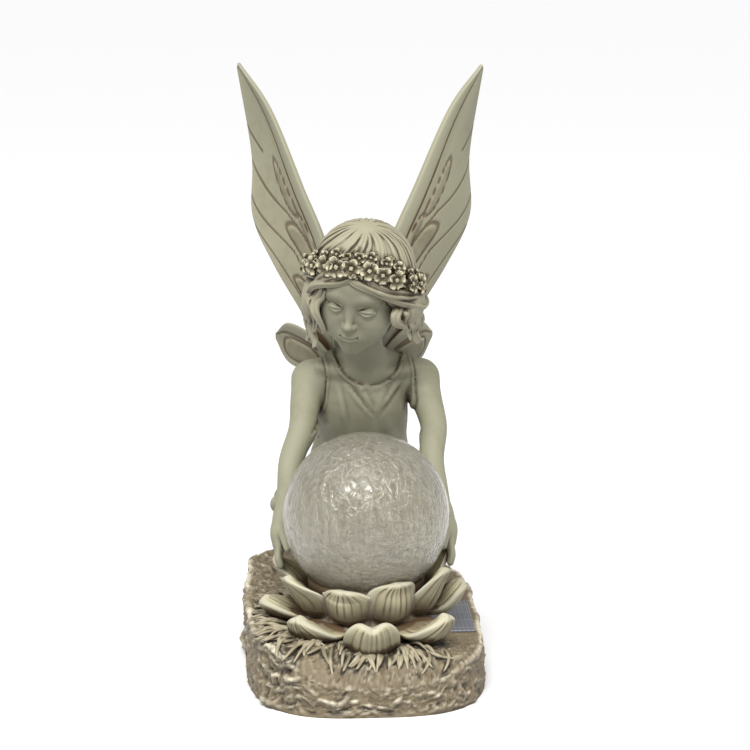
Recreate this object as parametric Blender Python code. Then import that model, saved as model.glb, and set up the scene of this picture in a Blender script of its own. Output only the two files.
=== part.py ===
"""Solar fairy garden statue: a resin casting of a kneeling winged girl who holds a glass globe in a lotus.

Metres, +Z up. X runs to the right of the photograph, the camera is on the -Y side.
The origin is in the middle of the flat underside.
"""
import math

import bmesh
import bpy
import numpy as np
from mathutils import Euler, Matrix, Vector, noise
from mathutils.kdtree import KDTree

STATUE_HEIGHT = 0.357       # underside to the wing tips; girl and wings are carved in shares of it
GAP = 0.0003                # clearance between pieces that are fitted to one another
GLUE = 0.0006               # room for glue round the root of a wing

# Base
BASE_WIDTH = 0.145          # left to right
BASE_FRONT = 0.105          # from the origin to the front edge
BASE_BACK = 0.102           # from the origin to the back edge
BASE_TOP = 0.034            # ground level round the lotus
BASE_RISE = 0.007           # how much the ground climbs to the back
BASE_LEAN = 0.004           # how much the ground climbs to the left
FRONT_LIP = 0.014           # height of the front edge
FRONT_SLOPE = 0.029         # how far the front slopes down to it
ROCK_BULGE = 0.0022         # how far its sides are hewn in and out
ROCK_LUMPS = 9              # lumps along its width

# Globe and its lamp
GLOBE_DIAMETER = 0.100
GLOBE_HEIGHT = 0.101        # height of its centre
GLASS = 0.0025
SEAT_GAP = 0.0006           # clearance round the globe
NECK_DIAMETER = 0.034
NECK_LENGTH = 0.0080        # how far the neck reaches below the ball
NECK_END = GLOBE_HEIGHT - GLOBE_DIAMETER / 2 - NECK_LENGTH
FLANGE_DIAMETER = 0.040
FLANGE_THICK = 0.0030
PLUG_HEIGHT = 0.0090
LED_DIAMETER = 0.0050
LED_HEIGHT = 0.0080


def ball_reach(height):
    """Radius of the seat of the globe at a height."""
    return math.sqrt((GLOBE_DIAMETER / 2 + SEAT_GAP) ** 2 - (GLOBE_HEIGHT - height) ** 2)


# Lotus
LOTUS_Y = -0.030            # the axis of the lotus and of the globe is at x = 0
LOWER_REACH = 0.061         # axis to the tips of the lower petals
LOWER_TIP = 0.0480          # height of the lower tips
LOWER_ROOT = 0.026
UPPER_TIP = 0.0700          # height of the front upper tips
UPPER_CLEAR = 0.0050        # middle of a front upper tip to the globe
UPPER_REACH = ball_reach(UPPER_TIP) + UPPER_CLEAR
UPPER_ROOT = 0.030
UPPER_FLARE = 0.009         # how much further out the side ones reach
UPPER_RISE = 0.005          # how much higher the side ones reach
PETAL_WIDTH = 0.034
PETAL_THICK = 0.0034
PETAL_CUP = 0.006
BOWL_DROP = 0.0370          # centre of the globe to the rim of the bowl
BOWL_TOP = GLOBE_HEIGHT - BOWL_DROP
BOWL_WALL = 0.0055          # at the rim
BOWL_RADIUS = ball_reach(BOWL_TOP) + BOWL_WALL
BOWL_FOOT = 0.042           # radius at the ground
BOWL_WAIST = 0.034
BOWL_ROOT = 0.004           # how high in the base it begins

# Solar panel
PANEL_WIDTH = 0.030
PANEL_LENGTH = 0.052
PANEL_THICK = 0.0040
PANEL_EDGE = 0.0055         # left free between the panel and the side of the base
PANEL_DROP = 0.0050         # top of the panel below the ground round the lotus
PANEL_Y = -0.0050
PANEL_CLEAR = 0.012         # free height over the panel
PANEL_AT = (BASE_WIDTH / 2 - PANEL_EDGE - PANEL_WIDTH / 2, PANEL_Y, BASE_TOP - PANEL_DROP)
PANEL_SLOPE = 3.0                         # degrees down to the front

# Head
HEAD_LENGTH = 0.0720               # chin to crown without hair
HEAD_AT = STATUE_HEIGHT * np.array([0.0028, 0.0560, 0.6429])
HEAD_YAW = -20.0
HEAD_PITCH = 18.0
HEAD_ROLL = 8.0
FLOWER_SIZE = 0.0096
FLOWER_DEPTH = 0.0062

# Wings
WING_THICK = 0.0030
WING_RIB = 0.0034           # extra half thickness at the leading edge
WING_VOXEL = 0.0009
TAB_THICK = 0.0040
TAB_INNER = 0.0065          # from the middle of the back to the deep end of a tab
TAB_OUTER = 0.0110
TAB_DEEP = 0.050
TAB_MOUTH = 0.071
TAB_LOW = 0.150
TAB_HIGH = 0.172

VOXEL = 0.0016
STATUE_FACES = 5900
WING_FACES = 480
SLIVER = 0.00002
FAR = 1.0
PROBE = 0.00015


# Clay: rounded strokes that add to or cut from one blended surface

def ball_template(subdivisions):
    """Points and faces of a ball of radius 1."""
    bm = bmesh.new()
    bmesh.ops.create_icosphere(bm, subdivisions=subdivisions, radius=1)
    points = np.array([v.co[:] for v in bm.verts])
    faces = np.array([[v.index for v in f.verts] for f in bm.faces])
    bm.free()
    return points, faces


FINE_BALL = ball_template(3)
ROUGH_BALL = ball_template(1)


class Heap:
    """Loose shells collected into one mesh."""

    def __init__(self):
        self.points = []
        self.faces = []
        self.count = 0

    def add(self, template, matrix, centre):
        points, faces = template
        self.points.append(points @ np.asarray(matrix).T + centre)
        self.faces.append(faces + self.count)
        self.count += len(points)

    def put_in(self, bm):
        verts = [bm.verts.new(p) for p in np.vstack(self.points)]
        for face in np.vstack(self.faces):
            bm.faces.new([verts[i] for i in face])


def smooth_path(points, per_span=5):
    """A Catmull-Rom curve through rows of numbers."""
    rows = np.asarray(points, float)
    ends = np.vstack([2 * rows[0] - rows[1], rows, 2 * rows[-1] - rows[-2]])
    out = []
    for a, b, c, d in zip(ends, ends[1:], ends[2:], ends[3:]):
        for t in np.linspace(0, 1, per_span, endpoint=False):
            bend = (2 * a - 5 * b + 4 * c - d) * t**2 + (3 * b - a - 3 * c + d) * t**3
            out.append(0.5 * (2 * b + (c - a) * t + bend))
    return np.vstack([out, rows[-1]])


class Egg:
    """An egg of clay: centre, three radii, and a rotation matrix."""

    def __init__(self, centre, radii, turn=None, blend=0.003, cut=False):
        self.centre = np.asarray(centre, float)
        self.radii = np.broadcast_to(np.asarray(radii, float), 3)
        self.turn = np.eye(3) if turn is None else np.asarray(turn, float)
        self.blend = blend
        self.cut = cut

    def box(self):
        reach = np.sqrt(((self.turn * self.radii) ** 2).sum(1))
        return self.centre - reach, self.centre + reach

    def distance(self, points):
        local = (points - self.centre) @ self.turn
        by_radius = np.sqrt(((local / self.radii) ** 2).sum(-1))
        by_square = np.sqrt(((local / self.radii**2) ** 2).sum(-1))
        return by_radius * (by_radius - 1) / np.maximum(by_square, 1e-9)

    def rough(self, heap):
        heap.add(FINE_BALL, self.turn * self.radii, self.centre)


class Roll:
    """A roll of clay along a smooth path. Rows are x, y, z, radius; flat squeezes it along a direction."""

    def __init__(self, rows, blend=0.003, cut=False, flat=None, share=1.0):
        self.rows = smooth_path(rows)
        self.blend = blend
        self.cut = cut
        self.flat = None if flat is None else np.asarray(flat, float) / np.linalg.norm(flat)
        self.share = share

    def box(self):
        reach = self.rows[:, 3:4]
        return (self.rows[:, :3] - reach).min(0), (self.rows[:, :3] + reach).max(0)

    def distance(self, points):
        best = np.full(points.shape[:-1], FAR)
        for start, end in zip(self.rows, self.rows[1:]):
            along = end[:3] - start[:3]
            off = points - start[:3]
            t = np.clip((off @ along) / max(along @ along, 1e-12), 0, 1)
            off = off - t[..., None] * along
            square = (off**2).sum(-1)
            if self.flat is not None:
                square = square + (off @ self.flat) ** 2 * (1 / self.share**2 - 1)
            best = np.minimum(best, np.sqrt(square) - start[3] - (end[3] - start[3]) * t)
        return best if self.flat is None else best * (0.5 + 0.5 * self.share)

    def rough(self, heap):
        squeeze = np.eye(3)
        if self.flat is not None:
            squeeze = squeeze - (1 - self.share) * np.outer(self.flat, self.flat)
        last = None
        for row in self.rows:
            if last is not None and np.linalg.norm(row[:3] - last[:3]) < 0.35 * last[3]:
                continue
            heap.add(ROUGH_BALL, squeeze * row[3] * 1.05, row[:3])
            last = row


def mm(*rows):
    """Rows written in millimetres of a statue 357 mm tall, in metres."""
    return np.asarray(rows, float) * STATUE_HEIGHT / 357


def blended(points, strokes, reach):
    """Distance from the points to the surface that all the strokes make together."""
    found = np.full(points.shape[:-1], FAR)
    for stroke, near in zip(strokes, reach):
        if not near.size:
            continue
        old = found[..., near]
        new = stroke.distance(points[..., near, :])
        if stroke.cut:
            overlap = np.maximum(stroke.blend - abs(old + new), 0) / stroke.blend
            found[..., near] = np.maximum(old, -new) + overlap**2 * stroke.blend / 4
        else:
            overlap = np.maximum(stroke.blend - abs(old - new), 0) / stroke.blend
            found[..., near] = np.minimum(old, new) - overlap**2 * stroke.blend / 4
    return found


def settle(points, strokes, passes=2, play=0.003):
    """Moves points onto the blended surface, one step along its slope at a time."""
    points = points.copy()
    reach = []
    for stroke in strokes:
        low, high = stroke.box()
        margin = stroke.blend + play
        near = ((points > low - margin) & (points < high + margin)).all(1)
        reach.append(np.flatnonzero(near))
    offsets = np.vstack([np.zeros(3), np.eye(3) * PROBE])[:, None, :]
    for _ in range(passes):
        found = blended(points + offsets, strokes, reach)
        slope = (found[1:] - found[0]) / PROBE
        steep = np.maximum((slope**2).sum(0), 0.2)
        step = np.clip(found[0] / steep, -0.003, 0.003)
        step[abs(found[0]) > 0.5] = 0
        points -= (step * slope).T
    return points


# Meshes

def new_object(name, bm, smooth=True):
    mesh = bpy.data.meshes.new(name)
    for face in bm.faces:
        face.smooth = smooth
    bm.to_mesh(mesh)
    bm.free()
    obj = bpy.data.objects.new(name, mesh)
    bpy.context.scene.collection.objects.link(obj)
    return obj


def apply_modifiers(obj):
    graph = bpy.context.evaluated_depsgraph_get()
    mesh = bpy.data.meshes.new_from_object(obj.evaluated_get(graph))
    old = obj.data
    obj.modifiers.clear()
    obj.data = mesh
    bpy.data.meshes.remove(old)


def fuse(obj, voxel):
    """Makes all the shells of an object one skin of even faces."""
    modifier = obj.modifiers.new("fuse", "REMESH")
    modifier.mode = "VOXEL"
    modifier.voxel_size = voxel
    apply_modifiers(obj)


def thin_out(obj, faces):
    modifier = obj.modifiers.new("thin out", "DECIMATE")
    modifier.ratio = faces / (2 * len(obj.data.polygons))
    modifier.use_collapse_triangulate = True
    apply_modifiers(obj)


def cut(obj, *cutters):
    """Takes the cutters away from the object and removes them."""
    for cutter in cutters:
        modifier = obj.modifiers.new("cut", "BOOLEAN")
        modifier.operation = "DIFFERENCE"
        modifier.solver = "EXACT"
        modifier.object = cutter
        apply_modifiers(obj)
        bpy.data.objects.remove(cutter)


def mend_slivers(obj):
    """Closes up the short edges that thinning and cuts leave, and parts sheets that only touch."""
    bm = bmesh.new()
    bm.from_mesh(obj.data)
    bmesh.ops.triangulate(bm, faces=bm.faces)
    for _ in range(8):
        used = set()
        pairs = {}
        for edge in bm.edges:
            one, other = edge.verts
            if edge.calc_length() > SLIVER or one in used or other in used:
                continue
            around = {link.other_vert(one) for link in one.link_edges}
            shared = [link for link in other.link_edges if link.other_vert(other) in around]
            if len(shared) == 2:
                pairs[one] = other
                used |= around | {link.other_vert(other) for link in other.link_edges}
        if not pairs:
            break
        bmesh.ops.weld_verts(bm, targetmap=pairs)
    ends = {}
    for edge in bm.edges:
        ends.setdefault(frozenset(edge.verts), []).append(edge)
    doubled = [edge for group in ends.values() if len(group) > 1 for edge in group]
    bmesh.ops.subdivide_edges(bm, edges=doubled, cuts=1)
    bmesh.ops.triangulate(bm, faces=bm.faces)
    bm.normal_update()
    tree = KDTree(len(bm.verts))
    for i, vert in enumerate(bm.verts):
        tree.insert(vert.co, i)
    tree.balance()
    for vert in bm.verts:
        if len(tree.find_range(vert.co, SLIVER)) > 1:
            vert.co -= vert.normal * SLIVER
    bm.to_mesh(obj.data)
    bm.free()


def keep_largest(obj):
    """Drops every loose crumb but the main body."""
    bm = bmesh.new()
    bm.from_mesh(obj.data)
    bodies = []
    seen = set()
    for start in bm.verts:
        if start in seen:
            continue
        body = {start}
        edge = [start]
        while edge:
            here = edge.pop()
            for link in here.link_edges:
                other = link.other_vert(here)
                if other not in body:
                    body.add(other)
                    edge.append(other)
        seen |= body
        bodies.append(body)
    main = max(bodies, key=len)
    bmesh.ops.delete(bm, geom=[v for v in bm.verts if v not in main], context="VERTS")
    bm.to_mesh(obj.data)
    bm.free()


def slab(bm, grid, thick):
    """A closed slab on both sides of a grid of points (rows, columns, xyz). thick is per point."""
    down = np.gradient(grid, axis=0)
    across = np.gradient(grid, axis=1)
    normal = np.cross(down, across)
    normal /= np.maximum(np.linalg.norm(normal, axis=2), 1e-9)[..., None]
    offset = normal * np.broadcast_to(thick, grid.shape[:2])[..., None] / 2
    rows, columns = grid.shape[:2]
    front = [[bm.verts.new(p) for p in row] for row in grid + offset]
    back = [[bm.verts.new(p) for p in row] for row in grid - offset]
    for i in range(rows - 1):
        for j in range(columns - 1):
            bm.faces.new((front[i][j], front[i + 1][j], front[i + 1][j + 1], front[i][j + 1]))
            bm.faces.new((back[i][j], back[i][j + 1], back[i + 1][j + 1], back[i + 1][j]))
    rim = [(0, j) for j in range(columns)] + [(i, columns - 1) for i in range(1, rows)]
    rim += [(rows - 1, j) for j in range(columns - 2, -1, -1)] + [(i, 0) for i in range(rows - 2, 0, -1)]
    for (a, b), (c, d) in zip(rim, rim[1:] + rim[:1]):
        bm.faces.new((front[a][b], front[c][d], back[c][d], back[a][b]))


def lathe(bm, profile, steps):
    """Turns a closed profile of (radius, height) pairs about the axis of the globe."""
    rings = []
    for radius, height in profile:
        if radius < 1e-6:
            rings.append([bm.verts.new((0, LOTUS_Y, height))])
            continue
        ring = []
        for i in range(steps):
            a = 2 * math.pi * i / steps
            ring.append(bm.verts.new((radius * math.cos(a), LOTUS_Y + radius * math.sin(a), height)))
        rings.append(ring)
    pairs = list(zip(rings, rings[1:] + rings[:1]))
    for here, there in pairs:
        if len(here) == 1 and len(there) == 1:
            continue
        for i in range(steps):
            j = (i + 1) % steps
            corners = [here[i % len(here)], here[j % len(here)], there[j % len(there)], there[i % len(there)]]
            bm.faces.new(list(dict.fromkeys(corners)))
    bmesh.ops.recalc_face_normals(bm, faces=bm.faces)


# The girl

def head_matrix():
    turn = Matrix.Rotation(math.radians(HEAD_YAW), 3, "Z") @ Matrix.Rotation(math.radians(HEAD_PITCH), 3, "X")
    return np.array(turn @ Matrix.Rotation(math.radians(HEAD_ROLL), 3, "Y"))


HEAD_TURN = head_matrix()


def on_head(*place):
    """A place given in head lengths from the middle of the head: right, back, up."""
    return HEAD_AT + HEAD_LENGTH * (HEAD_TURN @ np.asarray(place, float))


def head_egg(place, radii, blend=0.05, cut=False):
    return Egg(on_head(*place), np.asarray(radii) * HEAD_LENGTH, HEAD_TURN, blend * HEAD_LENGTH, cut)


def head_roll(rows, blend=0.03, cut=False):
    return Roll([[*on_head(*row[:3]), row[3] * HEAD_LENGTH] for row in rows], blend * HEAD_LENGTH, cut)


def ball_side():
    """Radius of the globe in the millimetres of mm(), which the arms and hands keep to."""
    return GLOBE_DIAMETER / 2 / mm(1)[0]


def body_strokes():
    strokes = [
        Roll(mm((3, 50, 167, 23), (3, 51, 150, 27.5), (3, 57, 130, 27), (2, 64, 106, 32)), 0.008,
             flat=(0, 1, 0.15), share=0.72),
        Roll(mm((-28, 52, 168, 10.5), (-12, 50, 173, 11.5), (4, 48, 174, 12), (24, 50, 172, 11.5),
                (39, 52, 168, 10.5)), 0.008),
        Roll(mm((4, 49, 170, 13), (4, 41, 183, 11.5), (2, 32, 200, 12)), 0.008),
        Egg(*mm((0, 64, 66), (42, 34, 30)), None, 0.012),
    ]
    ball = ball_side()
    for side, x in ((-1, -30), (1, 40)):
        strokes.append(Roll(mm((x, 51, 167, 11), (x + side * 3, 42, 155, 9.5), (x + side * 6, 27, 141, 8.2),
                               (side * (ball - 6.8), 11, 125, 7.6), (side * (ball - 4), 1, 109, 6.4),
                               (side * (ball - 1), -6, 95, 5.2)), 0.006))
        strokes += hand_strokes(side)
        strokes.append(Roll(mm((side * 20, 40, 50, 13), (side * 21, 62, 49, 12), (side * 18, 84, 48, 8.5),
                               (side * 16, 98, 45, 5)), 0.008))
    return strokes


def hand_strokes(side):
    """A hand laid on the rim of the lotus, with four fingers and a thumb."""
    palm = ball_side() + 1
    strokes = [Roll(mm((side * (palm - 2), -6, 95, 5.2), (side * (palm + 0.5), -12, 87, 5.6),
                       (side * palm, -16, 80, 5.0)), 0.004)]
    for finger in range(4):
        spread = finger - 1.5
        strokes.append(Roll(mm((side * palm, -16 - spread * 2.6, 80, 2.7),
                               (side * (palm + 1.5), -19 - spread * 3.2, 74, 2.4),
                               (side * (palm + 0.5), -20 - spread * 3.6, 69, 2.1)), 0.0015))
    strokes.append(Roll(mm((side * (palm - 1), -11, 90, 3), (side * (palm - 2), -21, 86, 2.7),
                           (side * (palm - 4), -27, 80, 2.3)), 0.002))
    return strokes


def skirt_strokes():
    """A short full skirt: folds that hang from the waist and flare to the hem."""
    strokes = []
    folds = 17
    for i in range(folds):
        a = 2 * math.pi * i / folds + 0.12
        right, back = math.cos(a), math.sin(a)
        sway = 0.5 * math.sin(3.7 * i) + 0.5 * math.sin(1.9 * i)
        reach = 52 if right < 0 else 47
        hem = 66 + 4 * sway
        if right < -0.7:
            hem += 16
        y_low = max(28, 64 + 36 * back)
        strokes.append(Roll(mm((3 + 21 * right, 59 + 15.5 * back, 121, 4), (2 + 31 * right, 62 + 23 * back, 105, 5),
                               (0.86 * reach * right, max(28, 63 + 31 * back), (hem + 98) / 2, 5.6),
                               (reach * right, y_low, hem, 5.8 + sway)), 0.0045))
    return strokes


def face_strokes():
    """A calm child's face on ordinary proportions."""
    strokes = [
        head_egg((0, 0.05, 0.13), (0.335, 0.42, 0.37)),
        head_egg((0, -0.17, 0.15), (0.265, 0.21, 0.23), 0.12),
        head_egg((0, -0.10, -0.15), (0.265, 0.245, 0.30), 0.14),
        head_egg((0, -0.135, -0.31), (0.185, 0.19, 0.155), 0.10),
        head_egg((0, -0.265, -0.435), (0.085, 0.07, 0.065), 0.09),
    ]
    for side in (-1, 1):
        strokes += [
            head_egg((side * 0.155, -0.235, -0.165), (0.12, 0.10, 0.12), 0.12),
            head_egg((side * 0.135, -0.415, -0.005), (0.105, 0.075, 0.062), 0.10, cut=True),
            head_egg((side * 0.132, -0.305, -0.010), (0.078, 0.068, 0.066), 0.012),
        ]
    strokes += [
        head_roll([(0, -0.355, 0.07, 0.03), (0, -0.378, 0, 0.028), (0, -0.442, -0.15, 0.04)], 0.07),
        head_egg((0, -0.315, -0.275), (0.105, 0.085, 0.085), 0.08),
        head_roll([(-0.085, -0.345, -0.27, 0.012), (0, -0.397, -0.258, 0.02), (0.085, -0.345, -0.27, 0.012)]),
        head_roll([(-0.07, -0.35, -0.288, 0.012), (0, -0.388, -0.305, 0.023), (0.07, -0.35, -0.288, 0.012)]),
    ]
    return strokes


def band_place(turn, drop=0.0, out=0.0):
    """A place on the line of the flower crown, turn 0 is over the face; it dips to the right."""
    right, front = math.sin(turn), math.cos(turn)
    return on_head((0.425 + out) * right, 0.045 - (0.475 + out) * front, 0.215 - drop + 0.03 * front)


def hair_strokes():
    """The smooth crown of the hair, and the wavy hair below the flowers."""
    strokes = [head_egg((0, 0.055, 0.13), (0.40, 0.455, 0.385), 0.05)]
    locks = 22
    for i in range(locks):
        turn = math.radians(42 + (360 - 84) * i / (locks - 1))
        wave = math.sin(2.3 * i)
        start = band_place(turn, 0.03, -0.02)
        side = start - HEAD_AT
        out = np.array([side[0], side[1], 0]) / np.hypot(side[0], side[1])
        rows = [[*start, 0.072 * HEAD_LENGTH]]
        length = 0.50 + 0.083 * math.sin(1.7 * i)
        for k, share in enumerate((0.33, 0.66, 1.0)):
            push = 0.049 * math.sin(2.2 * k + wave * 2) - 0.125 * share**2
            drift = np.array([0.035 * wave * (-1) ** k, 0.056 * share, -length * share])
            rows.append([*(start + (out * push + drift) * HEAD_LENGTH), (0.069 - 0.031 * share) * HEAD_LENGTH])
        strokes.append(Roll(rows, 0.003))
    return strokes


def sweep_strokes():
    """Locks swept over the forehead from a parting to both sides."""
    strokes = []
    for k in range(3):
        lift = 0.035 * k
        strokes.append(head_roll([(-0.02, -0.44, 0.19 + lift, 0.04), (0.10, -0.435, 0.10 + lift, 0.045),
                                  (0.24, -0.37, 0.07 + lift, 0.045), (0.38, -0.23, 0.06 + lift, 0.04),
                                  (0.47, -0.10, 0.03 + lift, 0.03)]))
        strokes.append(head_roll([(-0.04, -0.44, 0.19 + lift, 0.04), (-0.16, -0.42, 0.12 + lift, 0.045),
                                  (-0.30, -0.31, 0.06 + lift, 0.045), (-0.41, -0.14, 0.0 + lift, 0.035)]))
    return strokes


def flowers(heap):
    """The flower crown as two staggered rows of low heads."""
    count = 22
    for row, drop in ((0, 0.035), (1, -0.055)):
        for i in range(count):
            turn = 2 * math.pi * (i + 0.5 * row) / count
            place = band_place(turn, drop, 0.03)
            facing = Vector(place - band_place(turn, drop, -0.3)).normalized()
            turned = np.array(facing.to_track_quat("Z", "Y").to_matrix())
            heap.add(ROUGH_BALL, turned * (FLOWER_SIZE / 2, FLOWER_SIZE / 2, FLOWER_DEPTH / 2), place)


# Lotus and ground

def petal(bm, turn, rise, width, thick, cup):
    """One petal: rise is its middle line as (reach, height) pairs, turn is measured from the front."""
    line = smooth_path(rise, 6)
    rows = len(line)
    along = np.linspace(0, 1, rows)
    breadth = np.where(along < 0.55, 0.62 + 0.38 * np.sin(along / 0.55 * math.pi / 2),
                       np.sqrt(np.maximum(1 - ((along - 0.55) / 0.47) ** 2, 0)))
    across = np.linspace(-1, 1, 9)
    reach = line[:, 0:1] - cup * 0.7 * (across[None, :] ** 2) * breadth[:, None]
    height = line[:, 1:2] + cup * (across[None, :] ** 2) * breadth[:, None]
    aside = width / 2 * breadth[:, None] * across[None, :]
    right, front = math.sin(turn), -math.cos(turn)
    grid = np.stack([reach * right - aside * front, LOTUS_Y + reach * front + aside * right, height], axis=2)
    slab(bm, grid, thick)


def lotus(bm):
    """A bowl under the globe, eight lower petals laid open and eight upper ones standing."""
    waist = BASE_TOP + (BOWL_TOP - BASE_TOP) / 3
    lathe(bm, [(0, BOWL_ROOT), (BOWL_FOOT, BOWL_ROOT), (BOWL_FOOT, BASE_TOP), (BOWL_WAIST, waist),
               (BOWL_RADIUS, BOWL_TOP), (0, BOWL_TOP)], 40)
    for i in range(8):
        turn = math.radians(45 * i)
        up = LOWER_TIP - BASE_TOP
        rise = [(LOWER_ROOT, BASE_TOP + 0.3 * up), (0.69 * LOWER_REACH, BASE_TOP + 0.07 * up),
                (0.9 * LOWER_REACH, BASE_TOP + 0.36 * up), (LOWER_REACH, BASE_TOP + 0.71 * up),
                (1.01 * LOWER_REACH, LOWER_TIP)]
        petal(bm, turn, rise, PETAL_WIDTH, 1.3 * PETAL_THICK, PETAL_CUP)
        turn = math.radians(45 * i + 22.5)
        lift = max(0.0, -math.cos(turn) + 0.92)
        flare = UPPER_FLARE * min(lift, 1.2)
        tip = UPPER_TIP + UPPER_RISE * min(lift, 1.4)
        up = tip - BASE_TOP
        rise = [(UPPER_ROOT, BASE_TOP + 0.28 * up), (0.9 * UPPER_REACH, BASE_TOP + 0.39 * up),
                (0.98 * UPPER_REACH + 0.6 * flare, BASE_TOP + 0.67 * up),
                (1.02 * UPPER_REACH + flare, BASE_TOP + 0.89 * up), (UPPER_REACH + flare * 1.1, tip)]
        petal(bm, turn, rise, 0.94 * PETAL_WIDTH, PETAL_THICK, PETAL_CUP / 2)


def outline(turn, inset=0.0):
    """The edge of the base, turn is measured from the right; a rounded block with a bowed front."""
    right, back = math.cos(turn), math.sin(turn)
    half = BASE_WIDTH / 2 - inset
    deep = (BASE_BACK if back > 0 else BASE_FRONT) - inset
    power = 5.0 if back > 0 else 3.2
    scale = (abs(right) ** power + abs(back) ** power) ** (-1 / power)
    return half * right * scale, deep * back * scale


def ground_height(x, y):
    height = BASE_TOP + BASE_RISE * min(max(y / BASE_BACK + 0.2, 0), 1) - BASE_LEAN * x / (BASE_WIDTH / 2)
    fall = min(max((FRONT_SLOPE - BASE_FRONT - y) / FRONT_SLOPE, 0), 1)
    height -= (height - FRONT_LIP) * fall**2
    side = min(max((x - 0.41 * BASE_WIDTH / 2) / (0.41 * BASE_WIDTH / 2), 0), 1)
    height -= BASE_LEAN * side
    return height


def ground(bm):
    steps = 96
    rings = []
    for share, z_share in ((1.0, -0.2), (1.0, 0.35), (1.0, 0.7), (0.985, 0.93)):
        ring = []
        for i in range(steps):
            x, y = outline(2 * math.pi * i / steps)
            bulge = ROCK_BULGE * noise.noise(Vector((x, y, z_share * BASE_TOP)) * ROCK_LUMPS / BASE_WIDTH)
            top = ground_height(x * 0.98, y * 0.98)
            ring.append(bm.verts.new(((x + bulge) * share, (y + bulge) * share, z_share * top)))
        rings.append(ring)
    for share in (0.95, 0.9, 0.8, 0.68, 0.54, 0.4, 0.25, 0.1):
        ring = []
        for i in range(steps):
            x, y = outline(2 * math.pi * i / steps)
            x, y = x * share, y * share
            lump = 0.7 * ROCK_BULGE * noise.noise(Vector((x, y, BASE_WIDTH)) * ROCK_LUMPS / BASE_WIDTH)
            ring.append(bm.verts.new((x, y, ground_height(x, y) + lump)))
        rings.append(ring)
    for lower, upper in zip(rings, rings[1:]):
        for i in range(steps):
            j = (i + 1) % steps
            bm.faces.new((lower[i], lower[j], upper[j], upper[i]))
    bm.faces.new(list(reversed(rings[0])))
    bm.faces.new(rings[-1])


# Wings

def wing_grid(lead, trail, rows, columns):
    """Points of a wing between its leading and trailing edges, bowed a little."""
    lead = np.asarray(lead)
    trail = np.asarray(trail)
    front = smooth_path(lead, 8)
    rear = smooth_path(trail, 8)
    steps = np.linspace(0, 1, rows)
    front = np.stack([np.interp(steps, np.linspace(0, 1, len(front)), front[:, k]) for k in range(3)], 1)
    rear = np.stack([np.interp(steps, np.linspace(0, 1, len(rear)), rear[:, k]) for k in range(3)], 1)
    across = np.linspace(0, 1, columns)[None, :, None]
    grid = front[:, None] * (1 - across) + rear[:, None] * across
    chord = rear - front
    bow = np.cross(chord, np.gradient(front, axis=0))
    bow /= np.maximum(np.linalg.norm(bow, axis=1), 1e-9)[:, None]
    size = np.linalg.norm(chord, axis=1)[:, None]
    return grid + (bow * size)[:, None] * 0.05 * np.sin(across * math.pi)


def tab(bm, side, grow=0.0):
    """The flat tab that holds a wing in its slot, grown to cut the slot."""
    heights = np.linspace(TAB_LOW - grow, TAB_HIGH + grow, 4)[:, None]
    depths = np.array([[TAB_DEEP - grow, TAB_MOUTH + grow]])
    across = side * (TAB_INNER + (TAB_OUTER - TAB_INNER) * (depths - TAB_DEEP) / (TAB_MOUTH - TAB_DEEP))
    grid = np.stack(np.broadcast_arrays(across, depths, heights), axis=2)
    slab(bm, grid, TAB_THICK + 2 * grow)


def wing(bm, side):
    """Upper and lower lobe of one wing and its tab."""
    reach = -68 if side < 0 else 83
    upper_lead = mm((side * 9, 64, 168), (side * 14, 72, 205), (0.26 * reach, 77, 246),
                    (0.47 * reach, 90, 283), (0.76 * reach, 108, 331), (reach, 122, 357))
    upper_trail = mm((side * 11, 69, 163), (0.44 * reach, 84, 198), (0.74 * reach, 102, 232),
                     (0.93 * reach, 116, 262), (0.93 * reach, 122, 300), (reach, 123, 356))
    grid = wing_grid(upper_lead, upper_trail, 22, 7)
    across = np.linspace(0, 1, 7)
    thick = WING_THICK + 2 * WING_RIB * np.maximum(1 - across / 0.3, 0) ** 1.5
    taper = np.linspace(1, 0.55, 22)[:, None]
    slab(bm, grid, thick[None, :] * taper)
    low_lead = mm((side * 9, 66, 172), (side * 26, 74, 190), (side * 42, 80, 198), (side * 50, 84, 191))
    low_trail = mm((side * 10, 67, 158), (side * 26, 76, 165), (side * 42, 84, 172), (side * 50, 85, 187))
    slab(bm, wing_grid(low_lead, low_trail, 9, 5), WING_THICK)
    tab(bm, side)


def build_wing(name, side):
    bm = bmesh.new()
    wing(bm, side)
    bmesh.ops.recalc_face_normals(bm, faces=bm.faces)
    obj = new_object(name, bm)
    fuse(obj, WING_VOXEL)
    seat = swollen(obj, GLUE)
    thin_out(obj, WING_FACES)
    keep_largest(obj)
    bm = bmesh.new()
    tab(bm, side, GLUE)
    bmesh.ops.recalc_face_normals(bm, faces=bm.faces)
    slot = new_object("slot", bm)
    return obj, [seat, slot]


def swollen(obj, gap):
    """A copy of a wing grown by the gap, to cut its seat with."""
    bm = bmesh.new()
    bm.from_mesh(obj.data)
    for vert in bm.verts:
        vert.co += vert.normal * gap
    seat = new_object("seat", bm)
    fuse(seat, WING_VOXEL)
    thin_out(seat, 1600)
    return seat


# The other pieces

def globe_profile():
    outer, inner = GLOBE_DIAMETER / 2, GLOBE_DIAMETER / 2 - GLASS
    neck, bore = NECK_DIAMETER / 2, NECK_DIAMETER / 2 - GLASS
    profile = [(neck, NECK_END)]
    start = math.asin(neck / outer)
    for i in range(13):
        a = start + (math.pi - start) * i / 12
        profile.append((outer * math.sin(a), GLOBE_HEIGHT - outer * math.cos(a)))
    start = math.asin(bore / inner)
    for i in range(12, -1, -1):
        a = start + (math.pi - start) * i / 12
        profile.append((inner * math.sin(a), GLOBE_HEIGHT - inner * math.cos(a)))
    profile.append((bore, NECK_END))
    return profile


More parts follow.
